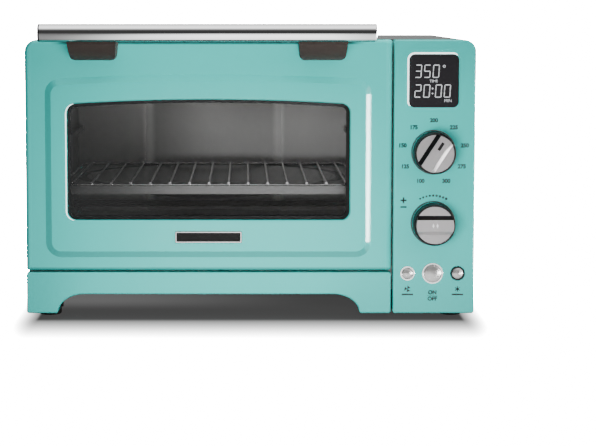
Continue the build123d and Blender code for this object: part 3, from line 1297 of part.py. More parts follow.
save(handle_bracket_left, "handle_bracket_left")
save(handle_bracket_right, "handle_bracket_right")
save(hinge_bracket_left, "hinge_bracket_left")
save(hinge_bracket_right, "hinge_bracket_right")
save(hinge_clevises, "hinge_clevises")
save(hinge_pins, "hinge_pins")
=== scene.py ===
from math import cos, pi, radians, sin, sqrt

import bmesh
import bpy
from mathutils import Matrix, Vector


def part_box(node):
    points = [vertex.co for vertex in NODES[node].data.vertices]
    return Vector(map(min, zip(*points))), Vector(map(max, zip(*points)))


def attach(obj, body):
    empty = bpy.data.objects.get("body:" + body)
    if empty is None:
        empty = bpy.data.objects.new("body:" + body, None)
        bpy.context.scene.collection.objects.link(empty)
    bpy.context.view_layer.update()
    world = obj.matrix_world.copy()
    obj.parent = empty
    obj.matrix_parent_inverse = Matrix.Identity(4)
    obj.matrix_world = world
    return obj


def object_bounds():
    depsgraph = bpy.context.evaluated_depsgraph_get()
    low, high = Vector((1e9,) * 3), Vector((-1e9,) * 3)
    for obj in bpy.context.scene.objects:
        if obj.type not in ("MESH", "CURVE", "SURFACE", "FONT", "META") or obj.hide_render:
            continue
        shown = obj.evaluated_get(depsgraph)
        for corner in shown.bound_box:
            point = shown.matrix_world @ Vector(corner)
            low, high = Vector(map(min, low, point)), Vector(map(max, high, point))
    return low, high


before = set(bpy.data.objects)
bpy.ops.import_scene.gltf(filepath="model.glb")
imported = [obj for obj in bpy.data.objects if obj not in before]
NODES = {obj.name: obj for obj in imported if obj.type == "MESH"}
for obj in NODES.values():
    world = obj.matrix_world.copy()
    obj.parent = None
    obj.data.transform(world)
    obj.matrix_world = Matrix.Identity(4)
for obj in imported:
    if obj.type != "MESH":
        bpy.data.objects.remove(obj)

bl_info = {
    "name": "Toaster oven",
    "version": (1, 0, 0),
    "blender": (4, 5, 0),
    "location": "View3D > Sidebar > Oven",
    "description": "Finishes, figures and marks of a countertop toaster oven, with its studio",
    "category": "Object",
}

CAD_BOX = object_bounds()
MM = 0.001
X, Y, Z = range(3)

# Low and high corners of the nodes that added pieces and shades are placed by
PANEL_LOW, PANEL_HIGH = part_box("control_panel")
LENS_LOW, LENS_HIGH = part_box("display_lens")
BADGE_LOW, BADGE_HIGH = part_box("badge_plate")
MODE_LOW, MODE_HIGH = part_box("mode_knob")
SELECT_LOW, SELECT_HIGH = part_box("select_knob")
START_LOW, START_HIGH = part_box("start_button")
CONVECTION_LOW, CONVECTION_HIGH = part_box("convection_button")
DEFROST_LOW, DEFROST_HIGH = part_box("defrost_button")
DOOR_LOW, DOOR_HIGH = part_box("door_shell")
BAR_LOW, BAR_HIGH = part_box("handle_bar")


def middle(low, high, axis):
    return (low[axis] + high[axis]) / 2


PANEL_FACE = PANEL_LOW[Y]
LEFT_END = CAD_BOX[0][X]
REAR_END = CAD_BOX[1][Y]
COLUMN_X = middle(START_LOW, START_HIGH, X)
MODE_Z = middle(MODE_LOW, MODE_HIGH, Z)
SELECT_Z = middle(SELECT_LOW, SELECT_HIGH, Z)
BUTTON_Z = middle(START_LOW, START_HIGH, Z)
BAR_X = middle(BAR_LOW, BAR_HIGH, X)

# Thickness of print, lit figures and painted glint strips, and how far most of them stand out of their face
FILM = 0.1 * MM
PROUD = 0.05 * MM

# Front of the lit figures
LENS_FRONT = LENS_LOW[Y] - PROUD

# Angle of the upper knob's grip to the horizontal
MODE_TURN = radians(57)

# Colour sockets of the Mix node, which share their names with other sockets
MIX_FACTOR, MIX_FIRST, MIX_SECOND, MIX_RESULT = 0, 6, 7, 2

# Glow of the floor's brightest place, of which a Mix Shader's factor takes a share
BRIGHTEST = 100.0


def grey(level):
    return (level, level, level)


def scaled(colour, share):
    return tuple(channel * share for channel in colour)


class Value:
    """A shader socket that takes part in Python arithmetic."""

    def __init__(self, tree, socket):
        self.tree = tree
        self.socket = socket

    def _math(self, operation, *values):
        return self.tree.node("ShaderNodeMath", {"operation": operation}, dict(enumerate(values)))

    def __add__(self, other):
        return self._math("ADD", self, other)

    __radd__ = __add__

    def __mul__(self, other):
        return self._math("MULTIPLY", self, other)

    __rmul__ = __mul__

    def __sub__(self, other):
        return self._math("SUBTRACT", self, other)

    def __rsub__(self, other):
        return self._math("SUBTRACT", other, self)

    def __neg__(self):
        return self * -1.0

    def __gt__(self, other):
        return self._math("GREATER_THAN", self, other)

    def __lt__(self, other):
        return self._math("LESS_THAN", self, other)

    def __abs__(self):
        return self._math("ABSOLUTE", self)

    def higher(self, other):
        return self._math("MAXIMUM", self, other)

    def lower(self, other):
        return self._math("MINIMUM", self, other)

    def root(self):
        return self._math("SQRT", self)

    def as_power_of_two(self):
        return self._math("POWER", 2.0, self)


class ShaderTree:
    """Nodes of a material or of the world, with their outputs as Values."""

    def __init__(self, node_tree):
        self.node_tree = node_tree

    def node(self, kind, settings=None, inputs=None, output=0):
        node = self.node_tree.nodes.new(kind)
        for key, value in (settings or {}).items():
            setattr(node, key, value)
        for key, value in (inputs or {}).items():
            self.feed(node.inputs[key], value)
        return Value(self, node.outputs[output])

    def feed(self, socket, value):
        """Links a Value to a socket, or sets a plain value on it."""
        if isinstance(value, Value):
            self.node_tree.links.new(value.socket, socket)
        else:
            socket.default_value = value

    def part(self, coordinates, axis):
        """One axis of a kind of texture coordinates."""
        where = self.node("ShaderNodeTexCoord", output=coordinates)
        return self.node("ShaderNodeSeparateXYZ", inputs={"Vector": where}, output=axis)

    def ease(self, value, low, high, first, last):
        """Smooth change from first to last while the value goes from low to high."""
        return self.node(
            "ShaderNodeMapRange", {"interpolation_type": "SMOOTHSTEP"},
            {"Value": value, "From Min": low, "From Max": high, "To Min": first, "To Max": last},
        )

    def blend(self, factor, first, second):
        """Shader that goes from the first to the second while the factor goes from 0 to 1."""
        return self.node("ShaderNodeMixShader", inputs={0: factor, 1: first, 2: second})


class Finish(ShaderTree):
    """One node material, with its Principled shader as self.shader."""

    def __init__(self, name, colour, roughness, metallic=0.0, **constants):
        self.material = bpy.data.materials.new(name)
        self.material.use_nodes = True
        self.material.diffuse_color = (*colour, 1.0)
        super().__init__(self.material.node_tree)
        self.shader = self.node_tree.nodes["Principled BSDF"]
        self.colour = tuple(colour)
        self.roughness = roughness
        self.set("Base Color", (*colour, 1.0))
        self.set("Roughness", roughness)
        self.set("Metallic", metallic)
        for socket, value in constants.items():
            self.set(socket.replace("_", " "), value)

    def set(self, socket, value):
        self.feed(self.shader.inputs[socket], value)

    def get(self, socket):
        """What the shader's socket holds: the Value linked to it, or else its plain value."""
        held = self.shader.inputs[socket]
        return Value(self, held.links[0].from_socket) if held.links else held.default_value

    def axis(self, name):
        """Place along one axis of the object, in metres."""
        return self.part("Object", name)

    def facing(self, name):
        """How far the surface faces along one axis, from -1 to 1."""
        return self.part("Normal", name)

    def noise(self, scale, detail=3.0, stretch=(1.0, 1.0, 1.0)):
        """Noise over the object, stretched for brushed or drawn surfaces."""
        where = self.node("ShaderNodeTexCoord", output="Object")
        drawn = self.node("ShaderNodeMapping", inputs={"Vector": where, "Scale": stretch})
        return self.node("ShaderNodeTexNoise", inputs={"Vector": drawn, "Scale": scale, "Detail": detail})

    def tint(self, factor, other):
        """Base colour that goes to another colour where the factor is 1."""
        mixed = self.node(
            "ShaderNodeMix", {"data_type": "RGBA"},
            {MIX_FACTOR: factor, MIX_FIRST: self.get("Base Color"), MIX_SECOND: (*other, 1.0)},
            output=MIX_RESULT,
        )
        self.set("Base Color", mixed)

    def mottle(self, scale, amount, spread, stretch=(1.0, 1.0, 1.0)):
        """Slight unevenness of colour and gloss."""
        grain = self.noise(scale, detail=4.0, stretch=stretch)
        self.tint(grain, scaled(self.colour, 1.0 - amount))
        self.set("Roughness", grain * spread + (self.roughness - spread / 2))

    def bump(self, height, strength, distance=0.2 * MM):
        raised = {"Height": height, "Strength": strength, "Distance": distance}
        self.set("Normal", self.node("ShaderNodeBump", inputs=raised))


ENAMEL_COAT = 0.12


def enamel(name, colour):
    """Gloss enamel on pressed steel, with a faint orange-peel surface."""
    finish = Finish(
        name, colour, roughness=0.16, Coat_Weight=ENAMEL_COAT, Coat_Roughness=0.04, Specular_IOR_Level=0.28,
    )
    finish.mottle(9.0, amount=0.05, spread=0.05)
    finish.bump(finish.noise(420.0, detail=2.0), strength=0.06, distance=0.4 * MM)
    return finish


def satin_paint(name, colour, roughness, **constants):
    """Powder coat with a fine grain."""
    finish = Finish(name, colour, roughness, **constants)
    finish.mottle(14.0, amount=0.12, spread=0.10)
    finish.bump(finish.noise(1500.0, detail=2.0), strength=0.18)
    return finish


def brushed(name, colour, roughness, stretch=(4.0, 4.0, 180.0), metallic=1.0):
    """Rolled or brushed sheet, with its lines along one way."""
    finish = Finish(name, colour, roughness, metallic)
    finish.mottle(30.0, amount=0.18, spread=0.16, stretch=stretch)
    finish.bump(finish.noise(60.0, stretch=stretch), strength=0.10)
    return finish


def polished(name, colour, roughness):
    """Bright plating with faint wiping marks."""
    finish = Finish(name, colour, roughness, metallic=1.0)
    finish.mottle(40.0, amount=0.04, spread=0.04, stretch=(1.0, 6.0, 6.0))
    finish.bump(finish.noise(260.0, detail=2.0, stretch=(0.2, 4.0, 4.0)), strength=0.02)
    return finish


def moulded(name, colour, roughness, grain=900.0, **constants):
    """Moulded plastic or rubber with a spark-eroded grain."""
    finish = Finish(name, colour, roughness, **constants)
    finish.mottle(25.0, amount=0.12, spread=0.10)
    finish.bump(finish.noise(grain, detail=2.0), strength=0.14)
    return finish


def glint_strip_finish(name):
    """Glowing finish of painted highlight, standing for a glint on an edge of the enamel."""
    edge = Finish(
        name, (0.90, 0.97, 0.96), roughness=0.12,
        Emission_Color=(0.88, 1.0, 0.98, 1.0), Emission_Strength=1.4,
    )
    edge.mottle(80.0, amount=0.04, spread=0.03)
    return edge


COLOUR = {"subtype": "COLOR", "size": 3, "min": 0.0, "max": 1.0}


class OvenColours(bpy.types.PropertyGroup):
    """Finishes of the oven."""

    enamel: bpy.props.FloatVectorProperty(
        name="Enamel", description="Door, base and control panel", default=(0.034, 0.53, 0.485), **COLOUR,
    )
    casing: bpy.props.FloatVectorProperty(
        name="Casing", description="Top, sides and rear", default=(0.10, 0.105, 0.105), **COLOUR,
    )
    bracket: bpy.props.FloatVectorProperty(
        name="Handle brackets", description="Cast arms of the handle", default=(0.030, 0.0235, 0.021), **COLOUR,
    )
    knob: bpy.props.FloatVectorProperty(
        name="Knob faces", description="Satin faces of both knobs", default=(0.43, 0.415, 0.42), **COLOUR,
    )
    figures: bpy.props.FloatVectorProperty(
        name="Figures", description="Printed marks on the panel", default=(0.003, 0.012, 0.012), **COLOUR,
    )
    cavity: bpy.props.FloatVectorProperty(
        name="Cavity", description="Sheet of the oven's inside", default=(0.43, 0.425, 0.42), **COLOUR,
    )


class OvenMarks(bpy.types.PropertyGroup):
    """Printed and lit marks."""

    print_height: bpy.props.FloatProperty(
        name="Print height", description="Height of the figures round the upper knob",
        default=4.0 * MM, unit="LENGTH",
    )
    print_radius: bpy.props.FloatProperty(
        name="Print radius", description="Figures to the middle of the upper knob",
        default=33.2 * MM, unit="LENGTH",
    )
    bold: bpy.props.FloatProperty(
        name="Bold", description="Width added to each side of a printed stroke",
        default=0.31 * MM, unit="LENGTH",
    )
    digit_height: bpy.props.FloatProperty(
        name="Digit height", description="Height of the display's digits", default=12.8 * MM, unit="LENGTH",
    )
    lift: bpy.props.FloatProperty(
        name="Mark lift", description="Marks above the faces of the knobs", default=0.12 * MM, unit="LENGTH",
    )


class OvenStudio(bpy.types.PropertyGroup):
    """Camera and light."""

    distance: bpy.props.FloatProperty(
        name="Distance", description="Camera to the control panel's face", default=1.80, unit="LENGTH",
    )
    height: bpy.props.FloatProperty(
        name="Height", description="Camera above the table", default=0.328, unit="LENGTH",
    )
    sideways: bpy.props.FloatProperty(
        name="Sideways", description="Camera from the oven's middle", default=-0.006, unit="LENGTH",
    )
    lens: bpy.props.FloatProperty(
        name="Lens", description="Focal length in millimetres", default=104.6,
    )
    tilt: bpy.props.FloatProperty(
        name="Tilt", description="Camera's look down at the oven", default=radians(4.74), subtype="ANGLE",
    )
    overhead: bpy.props.FloatProperty(
        name="Overhead light", description="Power of the ceiling panel", default=300.0, unit="POWER",
    )
    glint: bpy.props.FloatProperty(
        name="Glint", description="Brightness of the floor on the right, seen in the enamel", default=66.0,
    )
    front: bpy.props.FloatProperty(
        name="Front light", description="Power of the soft light before the door",
        default=4.15, unit="POWER",
    )
    side: bpy.props.FloatProperty(
        name="Side light", description="Power of the panel on the right", default=24.0, unit="POWER",
    )


def dress(finish, *names):
    """Gives CAD nodes their finish."""
    for name in names:
        mesh = NODES[name].data
        mesh.materials.clear()
        mesh.materials.append(finish.material)


def fit(name, mesh, finish, body):
    """Makes a mesh a finished piece that moves with a body."""
    mesh.materials.clear()
    mesh.materials.append(finish.material)
    piece = bpy.data.objects.new(name, mesh)
    bpy.context.scene.collection.objects.link(piece)
    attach(piece, body)


def new_piece(name, bm, finish, body):
    """Turns a bmesh into a finished piece that moves with a body."""
    mesh = bpy.data.meshes.new(name)
    bmesh.ops.recalc_face_normals(bm, faces=bm.faces)
    bm.to_mesh(mesh)
    bm.free()
    fit(name, mesh, finish, body)


def plate(bm, outline, front, thickness=FILM):
    """Adds a thin plate facing the front; outline is a list of (x, z)."""
    near = [bm.verts.new((x, front, z)) for x, z in outline]
    far = [bm.verts.new((x, front + thickness, z)) for x, z in outline]
    bm.faces.new(near)
    bm.faces.new(far[::-1])
    count = len(outline)
    for i in range(count):
        j = (i + 1) % count
        bm.faces.new((near[i], near[j], far[j], far[i]))


def ring(bm, outer, inner, front, thickness=FILM):
    """Adds a flat ring between two outlines with the same number of points."""
    back = front + thickness
    loops = []
    for outline, y in ((outer, front), (inner, front), (inner, back), (outer, back)):
        loops.append([bm.verts.new((x, y, z)) for x, z in outline])
    count = len(outer)
    for a in range(len(loops)):
        b = (a + 1) % len(loops)
        for i in range(count):
            j = (i + 1) % count
            bm.faces.new((loops[a][i], loops[a][j], loops[b][j], loops[b][i]))


def rounded(x, z, width, height, radius, steps=6):
    """Outline of a rectangle with round corners."""
    points = []
    for side, end, start in ((1, 1, 0), (-1, 1, 90), (-1, -1, 180), (1, -1, 270)):
        for i in range(steps + 1):
            turn = radians(start + 90 * i / steps)
            points.append((
                x + side * (width / 2 - radius) + radius * cos(turn),
                z + end * (height / 2 - radius) + radius * sin(turn),
            ))
    return points


def circle(x, z, radius, steps):
    turns = [2 * pi * i / steps for i in range(steps)]
    return [(x + radius * cos(turn), z + radius * sin(turn)) for turn in turns]


def turned_bar(x, z, length, width, angle=0.0):
    """Outline of a bar at an angle to the horizontal."""
    along = Vector((cos(angle), sin(angle)))
    across = Vector((-sin(angle), cos(angle)))
    return [
        tuple(Vector((x, z)) + along * end * length / 2 + across * side * width / 2)
        for end, side in ((-1, -1), (1, -1), (1, 1), (-1, 1))
    ]


def glint_band(bm, corners, gap, width, front, steps=8):
    """Adds a painted highlight, a bright band that swells and tapers round an opening.

    Each corner is (x, z, radius, start, stop), with its angles in degrees.
    """
    points = []
    for x, z, radius, start, stop in corners:
        for i in range(steps + 1):
            points.append((x, z, radius + gap, radians(start + (stop - start) * i / steps)))
    inner, outer = [], []
    for i, (x, z, radius, turn) in enumerate(points):
        reach = radius + width * sqrt(abs(sin(pi * i / (len(points) - 1))))
        inner.append((x + radius * cos(turn), z + radius * sin(turn)))
        outer.append((x + reach * cos(turn), z + reach * sin(turn)))
    plate(bm, outer + inner[-2:0:-1], front)


def printed_text(name, text, x, z, height, front, finish, slot, bold=0.0):
    """Prints text flat on a front face of the oven's body, centred on its place."""
    size_for_height = 1.4
    curve = bpy.data.curves.new(name, "FONT")
    curve.body = text
    curve.size = height * size_for_height
    curve.align_x = "CENTER"
    curve.align_y = "CENTER"
    curve.extrude = 0.04 * MM
    curve.offset = bold
    draft = bpy.data.objects.new(name, curve)
    draft.rotation_euler = (pi / 2, 0.0, 0.0)
    draft.location = (x, front, z)
    bpy.context.scene.collection.objects.link(draft)
    bpy.context.view_layer.update()
    evaluated = draft.evaluated_get(bpy.context.evaluated_depsgraph_get())
    mesh = bpy.data.meshes.new_from_object(evaluated)
    mesh.transform(draft.matrix_world)
    bpy.data.objects.remove(draft)
    fit(name, mesh, finish, "oven_body")


class OVEN_OT_front(bpy.types.Operator):
    """Enamels the door, base and control panel."""

    bl_idname = "oven.front"
    bl_label = "Front"

    crest: bpy.props.FloatProperty(
        name="Crest", description="Middle of the right slope, where its gloss is highest",
        default=122.8 * MM, unit="LENGTH",
    )
    slope_shade: bpy.props.FloatProperty(
        name="Slope shade", description="Darkening of the pressed slopes that face left and down",
        default=0.5,
    )
    left_reach: bpy.props.FloatProperty(
        name="Left reach", description="Width of the fading shade at the left end",
        default=80.0 * MM, unit="LENGTH",
    )

    def execute(self, context):
        colour = context.scene.oven_colours.enamel
        self.enamel_body(colour)
        self.enamel_door(colour)
        return {"FINISHED"}

    def fade_left(self, finish, depth):
        """Paints shade on the left end, away from the light."""
        # Painted shade, fading out towards the right
        shade = finish.ease(finish.axis("X"), LEFT_END, LEFT_END + self.left_reach, depth, 0.0)
        finish.tint(shade, scaled(finish.colour, 0.5))

    def enamel_body(self, colour):
        """Base and control panel, with shade painted at the panel's top and foot."""
        body = enamel("aqua_enamel", colour)
        self.fade_left(body, depth=0.5)
        height_fade = (70.0 * MM, 140.0 * MM)
        panel_side = (60.0 * MM, 120.0 * MM)
        # Painted shade: the panel darker towards its top and foot
        off_middle = abs(body.axis("Z") - middle(PANEL_LOW, PANEL_HIGH, Z))
        ends = body.ease(off_middle, *height_fade, 0.0, 0.3)
        body.tint(ends * body.ease(body.axis("X"), *panel_side, 0.0, 1.0), scaled(colour, 0.5))
        dress(body, "base_fascia", "control_panel")

    def enamel_door(self, colour):
        """Door, with shade painted on its slopes, the handle's shadow painted along its top and a glossy crest
        on the right.
        """
        door = enamel("aqua_door", colour)
        self.fade_left(door, depth=0.3)
        # Painted shade: the pressed slopes that face left and down are darker
        slope_tilt = (0.08, 0.30)
        right, up = door.facing("X"), door.facing("Z")
        door.tint(door.ease((-right).higher(-up), *slope_tilt, 0.0, self.slope_shade), scaled(colour, 0.3))

        # Painted shadow of the handle bar along the door's top
        top_fade = (DOOR_HIGH[Z] - 5.6 * MM, DOOR_HIGH[Z] - 3.0 * MM)
        half_bar = (BAR_HIGH[X] - BAR_LOW[X]) / 2
        bar_fade = (half_bar - 25.0 * MM, half_bar - 4.0 * MM)
        bar_shadow = door.ease(door.axis("Z"), *top_fade, 0.0, 0.95)
        below_bar = door.ease(abs(door.axis("X") - BAR_X), *bar_fade, 1.0, 0.0)
        door.tint(bar_shadow * below_bar, scaled(colour, 0.05))

        edge_fade = (DOOR_HIGH[X] - 7.0 * MM, DOOR_HIGH[X] - 4.0 * MM)
        gloss_fade = (0.4 * MM, 3.0 * MM)
        dull_fade = (1.4 * MM, 3.6 * MM)
        edge_roughness = 0.7
        edge = door.ease(door.axis("X"), *edge_fade, 0.0, 1.0)
        off_crest = abs(door.axis("X") - self.crest)
        slope = door.ease(right, *slope_tilt, 0.0, 0.88)
        gloss = slope * door.ease(off_crest, *gloss_fade, 1.0, 0.0)
        dull = slope * door.ease(off_crest, *dull_fade, 0.0, 0.4)
        door.set("Coat Weight", gloss + ENAMEL_COAT * (1.0 - edge))
        door.set("Roughness", dull + edge * edge_roughness + door.get("Roughness"))
        dress(door, "door_shell")


class OVEN_OT_casing(bpy.types.Operator):
    """Paints the casing and rear cover, and finishes the base pan, feet, cord gland and screws."""

    bl_idname = "oven.casing"
    bl_label = "Casing"

    def execute(self, context):
        colours = context.scene.oven_colours
        paint = satin_paint("casing_grey", colours.casing, roughness=0.38, Specular_IOR_Level=0.2)
        dress(paint, "case_wrap", "rear_cover")
        dress(brushed("base_zinc", (0.42, 0.42, 0.43), roughness=0.42), "base_pan")
        dress(moulded("foot_rubber", grey(0.012), roughness=0.7, grain=600.0), "feet", "cord_gland")
        dress(brushed("screw_steel", (0.55, 0.55, 0.56), roughness=0.28), "cover_screws")
        return {"FINISHED"}


class OVEN_OT_screw_slots(bpy.types.Operator):
    """Paints a dark cross on the head of every rear screw, as painted shade standing for its cross recess."""

    bl_idname = "oven.screw_slots"
    bl_label = "Screw recesses"

    def execute(self, context):
        _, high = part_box("cover_screws")
        head_reach = 9.0 * MM
        slot_length, slot_width, slot_turns = 3.4 * MM, 0.8 * MM, (radians(20), radians(110))
        slot_rise, slot_depth = 0.10 * MM, 0.11 * MM

        def of_one_head(point, other):
            return (point[0] - other[0]) ** 2 + (point[1] - other[1]) ** 2 < head_reach ** 2

        points = sorted({
            (round(v.co.x, 3), round(v.co.z, 3))
            for v in NODES["cover_screws"].data.vertices if v.co.y > high[Y] - 0.05 * MM
        })
        heads = []
        for point in points:
            if not any(of_one_head(point, head) for head in heads):
                group = [other for other in points if of_one_head(point, other)]
                heads.append([sum(places) / len(group) for places in zip(*group)])
        bm = bmesh.new()
        for x, z in heads:
            for turn in slot_turns:
                plate(bm, turned_bar(x, z, slot_length, slot_width, turn), high[Y] - slot_rise, slot_depth)
        new_piece("screw_recesses", bm, moulded("recess_painted_shade", grey(0.02), 0.6), "oven_body")
        return {"FINISHED"}


class OVEN_OT_cavity(bpy.types.Operator):
    """Finishes the oven's inside, its heaters and its fan."""

    bl_idname = "oven.cavity"
    bl_label = "Cavity"

    bulge_edge: bpy.props.FloatProperty(
        name="Bulge edge", description="Bright bend on each side of the round back",
        default=79.0 * MM, unit="LENGTH",
    )

    def execute(self, context):
        colour = context.scene.oven_colours.cavity
        sheet, back = (
            brushed(name, colour, roughness=0.45, stretch=(6.0, 6.0, 90.0), metallic=0.45)
            for name in ("cavity_sheet", "cavity_back_sheet")
        )
        dress(
            sheet, "cavity_floor", "cavity_ceiling", "cavity_left_wall", "cavity_right_wall",
            "cavity_frame", "crumb_tray",
        )
        self.light_back(back)
        dress(back, "cavity_back")
        bright = brushed("bright_sheet", (0.50, 0.50, 0.49), roughness=0.34, stretch=(90.0, 6.0, 6.0))
        dress(bright, "door_inner_panel", "fan_grille", "fan_housing", "bay_shield")
        sheath = Finish("heater_sheath", (0.20, 0.18, 0.16), roughness=0.5, metallic=1.0)
        sheath.mottle(120.0, amount=0.5, spread=0.2, stretch=(0.3, 1.0, 1.0))
        dress(sheath, "upper_heaters", "lower_heaters")
        dress(moulded("bush_ceramic", (0.78, 0.74, 0.66), roughness=0.6, grain=700.0), "heater_bushes")
        dress(
            brushed("plain_steel", (0.52, 0.52, 0.53), roughness=0.30),
            "fan_impeller", "fan_motor", "temperature_probe", "mode_shaft", "select_shaft",
            "hinge_bracket_left", "hinge_bracket_right", "hinge_clevises", "hinge_pins",
        )
        return {"FINISHED"}

    def light_back(self, back):
        """Paints highlights on the back wall's bends, and makes the wall glow above the tray as painted light
        that it throws back.
        """
        low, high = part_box("cavity_back")
        bend_fade = (1.0 * MM, 9.0 * MM)
        right_fade = (low[X] + 60.0 * MM, high[X] - 130.0 * MM)
        tray_fade = (142.0 * MM, 152.0 * MM)
        ceiling_fade = (175.0 * MM, 230.0 * MM)
        off_bend = abs(abs(back.axis("X") - middle(low, high, X)) - self.bulge_edge)
        # Painted highlight along each bend
        back.tint(back.ease(off_bend, *bend_fade, 0.55, 0.0), (0.95, 0.95, 0.94))
        # Painted light: the wall glows on the right above the tray, fading towards the ceiling
        right = back.ease(back.axis("X"), *right_fade, 0.0, 1.0)
        above_tray = back.ease(back.axis("Z"), *tray_fade, 0.0, 1.0)
        back.set("Emission Color", right * above_tray * back.ease(back.axis("Z"), *ceiling_fade, 1.0, 0.1))
        back.set("Emission Strength", 0.125)


class OVEN_OT_rack(bpy.types.Operator):
    """Finishes the wire rack and the drip tray."""

    bl_idname = "oven.rack"
    bl_label = "Rack and tray"

    ring_radius: bpy.props.FloatProperty(
        name="Ring radius", description="Dark rim of the tray's well", default=147.0 * MM, unit="LENGTH",
    )

    def execute(self, context):
        dress(polished("rack_wire", grey(0.80), roughness=0.16), "wire_rack")
        tray = brushed("tray_sheet", grey(0.42), roughness=0.36, stretch=(90.0, 8.0, 8.0))
        low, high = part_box("drip_tray")
        rear_margin, half_width, lip = 9.0 * MM, 5.5 * MM, 2.0 * MM
        across = tray.axis("X") - middle(low, high, X)
        deep = tray.axis("Y") - (high[Y] - self.ring_radius - rear_margin)
        off_ring = abs((across * across + deep * deep).root() - self.ring_radius)
        behind_lip = tray.axis("Y") > low[Y] + lip
        # Painted shade: a dark band round the well, where its steep wall lies in shade
        tray.tint((off_ring < half_width) * behind_lip, grey(0.03))
        dress(tray, "drip_tray")
        return {"FINISHED"}


class OVEN_OT_window(bpy.types.Operator):
    """Finishes the door's glass and the rubber round it, with a painted glint on the window's left rim."""

    bl_idname = "oven.window"
    bl_label = "Door window"

    def execute(self, context):
        pane = Finish("door_pane", (0.030, 0.031, 0.031), roughness=0.02, IOR=1.5, Specular_IOR_Level=0.3)
        # Painted shade: the glass is more opaque and darker towards the left
        left_fade = (-190.0 * MM, -60.0 * MM)
        pane.set("Alpha", pane.ease(pane.axis("X"), *left_fade, 0.36, 0.13))
        smear = pane.noise(16.0)
        pane.set("Roughness", smear * 0.04 + 0.01)
        pane.tint(smear, (0.022, 0.023, 0.023))
        pane.material.surface_render_method = "BLENDED"
        dress(pane, "door_glass")
        dress(moulded("gasket_rubber", grey(0.004), roughness=0.8, grain=500.0), "glass_gasket")
        low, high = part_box("glass_gasket")
        margin, crown, corner = 8.0 * MM, 4.8 * MM, 9.5 * MM
        x = low[X] + margin + corner
        foot = low[Z] + margin + corner
        shoulder = high[Z] - margin - crown - corner
        # Painted highlight: a glowing strip round the window's left rim, standing for a glint
        bm = bmesh.new()
        glint_band(
            bm, ((x, shoulder, corner, 100, 180), (x, foot, corner, 180, 260)),
            gap=0.5 * MM, width=1.2 * MM, front=DOOR_LOW[Y] - PROUD,
        )
        new_piece("window_glint_strip", bm, glint_strip_finish("window_glint_paint"), "door")
        return {"FINISHED"}


class OVEN_OT_handle(bpy.types.Operator):
    """Finishes the chrome bar, its caps and the cast brackets."""

    bl_idname = "oven.handle"
    bl_label = "Handle"

    def execute(self, context):
        colours = context.scene.oven_colours
        self.chrome_bar()
        caps = polished("cap_chrome", (0.80, 0.80, 0.81), roughness=0.10)
        # Painted reflection: the left cap darkened, as if mirroring the dim left of the room
        caps.tint(caps.axis("X") < BAR_X, grey(0.02))
        dress(caps, "handle_caps")
        cast = satin_paint("bracket_cast", colours.bracket, roughness=0.6, Specular_IOR_Level=0.12)
        dress(cast, "handle_bracket_left", "handle_bracket_right")
        return {"FINISHED"}

    def chrome_bar(self):
        """Chrome with painted reflections, the darker bands of a dim room, and painted shade at its foot; their
        heights are shares of the bar's height.
        """
        bar = polished("handle_chrome", (0.95, 0.95, 0.96), roughness=0.08)
        rise = (bar.axis("Z") - BAR_LOW[Z]) * (1.0 / (BAR_HIGH[Z] - BAR_LOW[Z]))
        across = bar.axis("X") - BAR_X
        horizon, band, band_half = 0.46, 0.68, 0.10
        crown_fade, under_fade, foot_fade = (0.80, 0.97), (0.02, 0.32), (0.02, 0.10)
        left_fade, right_fade = (-165.0 * MM, -45.0 * MM), (110.0 * MM, 168.0 * MM)
        # Painted reflections: a dark band, a dimmer crown and a darker lower half near the foot and towards the
        # ends; then painted shade along the foot
        bar.tint(bar.ease(abs(rise - band), 0.0, band_half, 0.7, 0.0), grey(0.1))
        bar.tint(bar.ease(rise, *crown_fade, 0.0, 0.6), grey(0.3))
        lower_half = 1.0 - (rise > horizon)
        ends = bar.ease(across, *left_fade, 0.72, 0.0).higher(bar.ease(across, *right_fade, 0.0, 0.6))
        under = lower_half * bar.ease(rise, *under_fade, 0.45, 0.0)
        bar.tint(under.higher(lower_half * ends), grey(0.22))
        bar.tint(bar.ease(rise, *foot_fade, 0.9, 0.0), grey(0.10))
        dress(bar, "handle_bar")


class OVEN_OT_badge(bpy.types.Operator):
    """Makes the bare plate on the door, black with a bright rim."""

    bl_idname = "oven.badge"
    bl_label = "Door plate"

    def execute(self, context):
        black = Finish("badge_black", grey(0.005), roughness=0.5, Specular_IOR_Level=0.2)
        black.mottle(60.0, amount=0.3, spread=0.1)
        dress(black, "badge_plate")
        x = middle(BADGE_LOW, BADGE_HIGH, X)
        z = middle(BADGE_LOW, BADGE_HIGH, Z)
        width = BADGE_HIGH[X] - BADGE_LOW[X]
        height = BADGE_HIGH[Z] - BADGE_LOW[Z]
        outer, outer_radius = 0.9 * MM, 0.9 * MM
        inner, inner_radius = 2.6 * MM, 0.6 * MM
        bm = bmesh.new()
        ring(
            bm,
            rounded(x, z, width - outer, height - outer, outer_radius),
            rounded(x, z, width - inner, height - inner, inner_radius),
            front=BADGE_LOW[Y] - 0.15 * MM, thickness=0.3 * MM,
        )
        rim = polished("badge_rim_bright", (0.82, 0.82, 0.83), roughness=0.15)
        new_piece("badge_rim", bm, rim, "door")
        return {"FINISHED"}


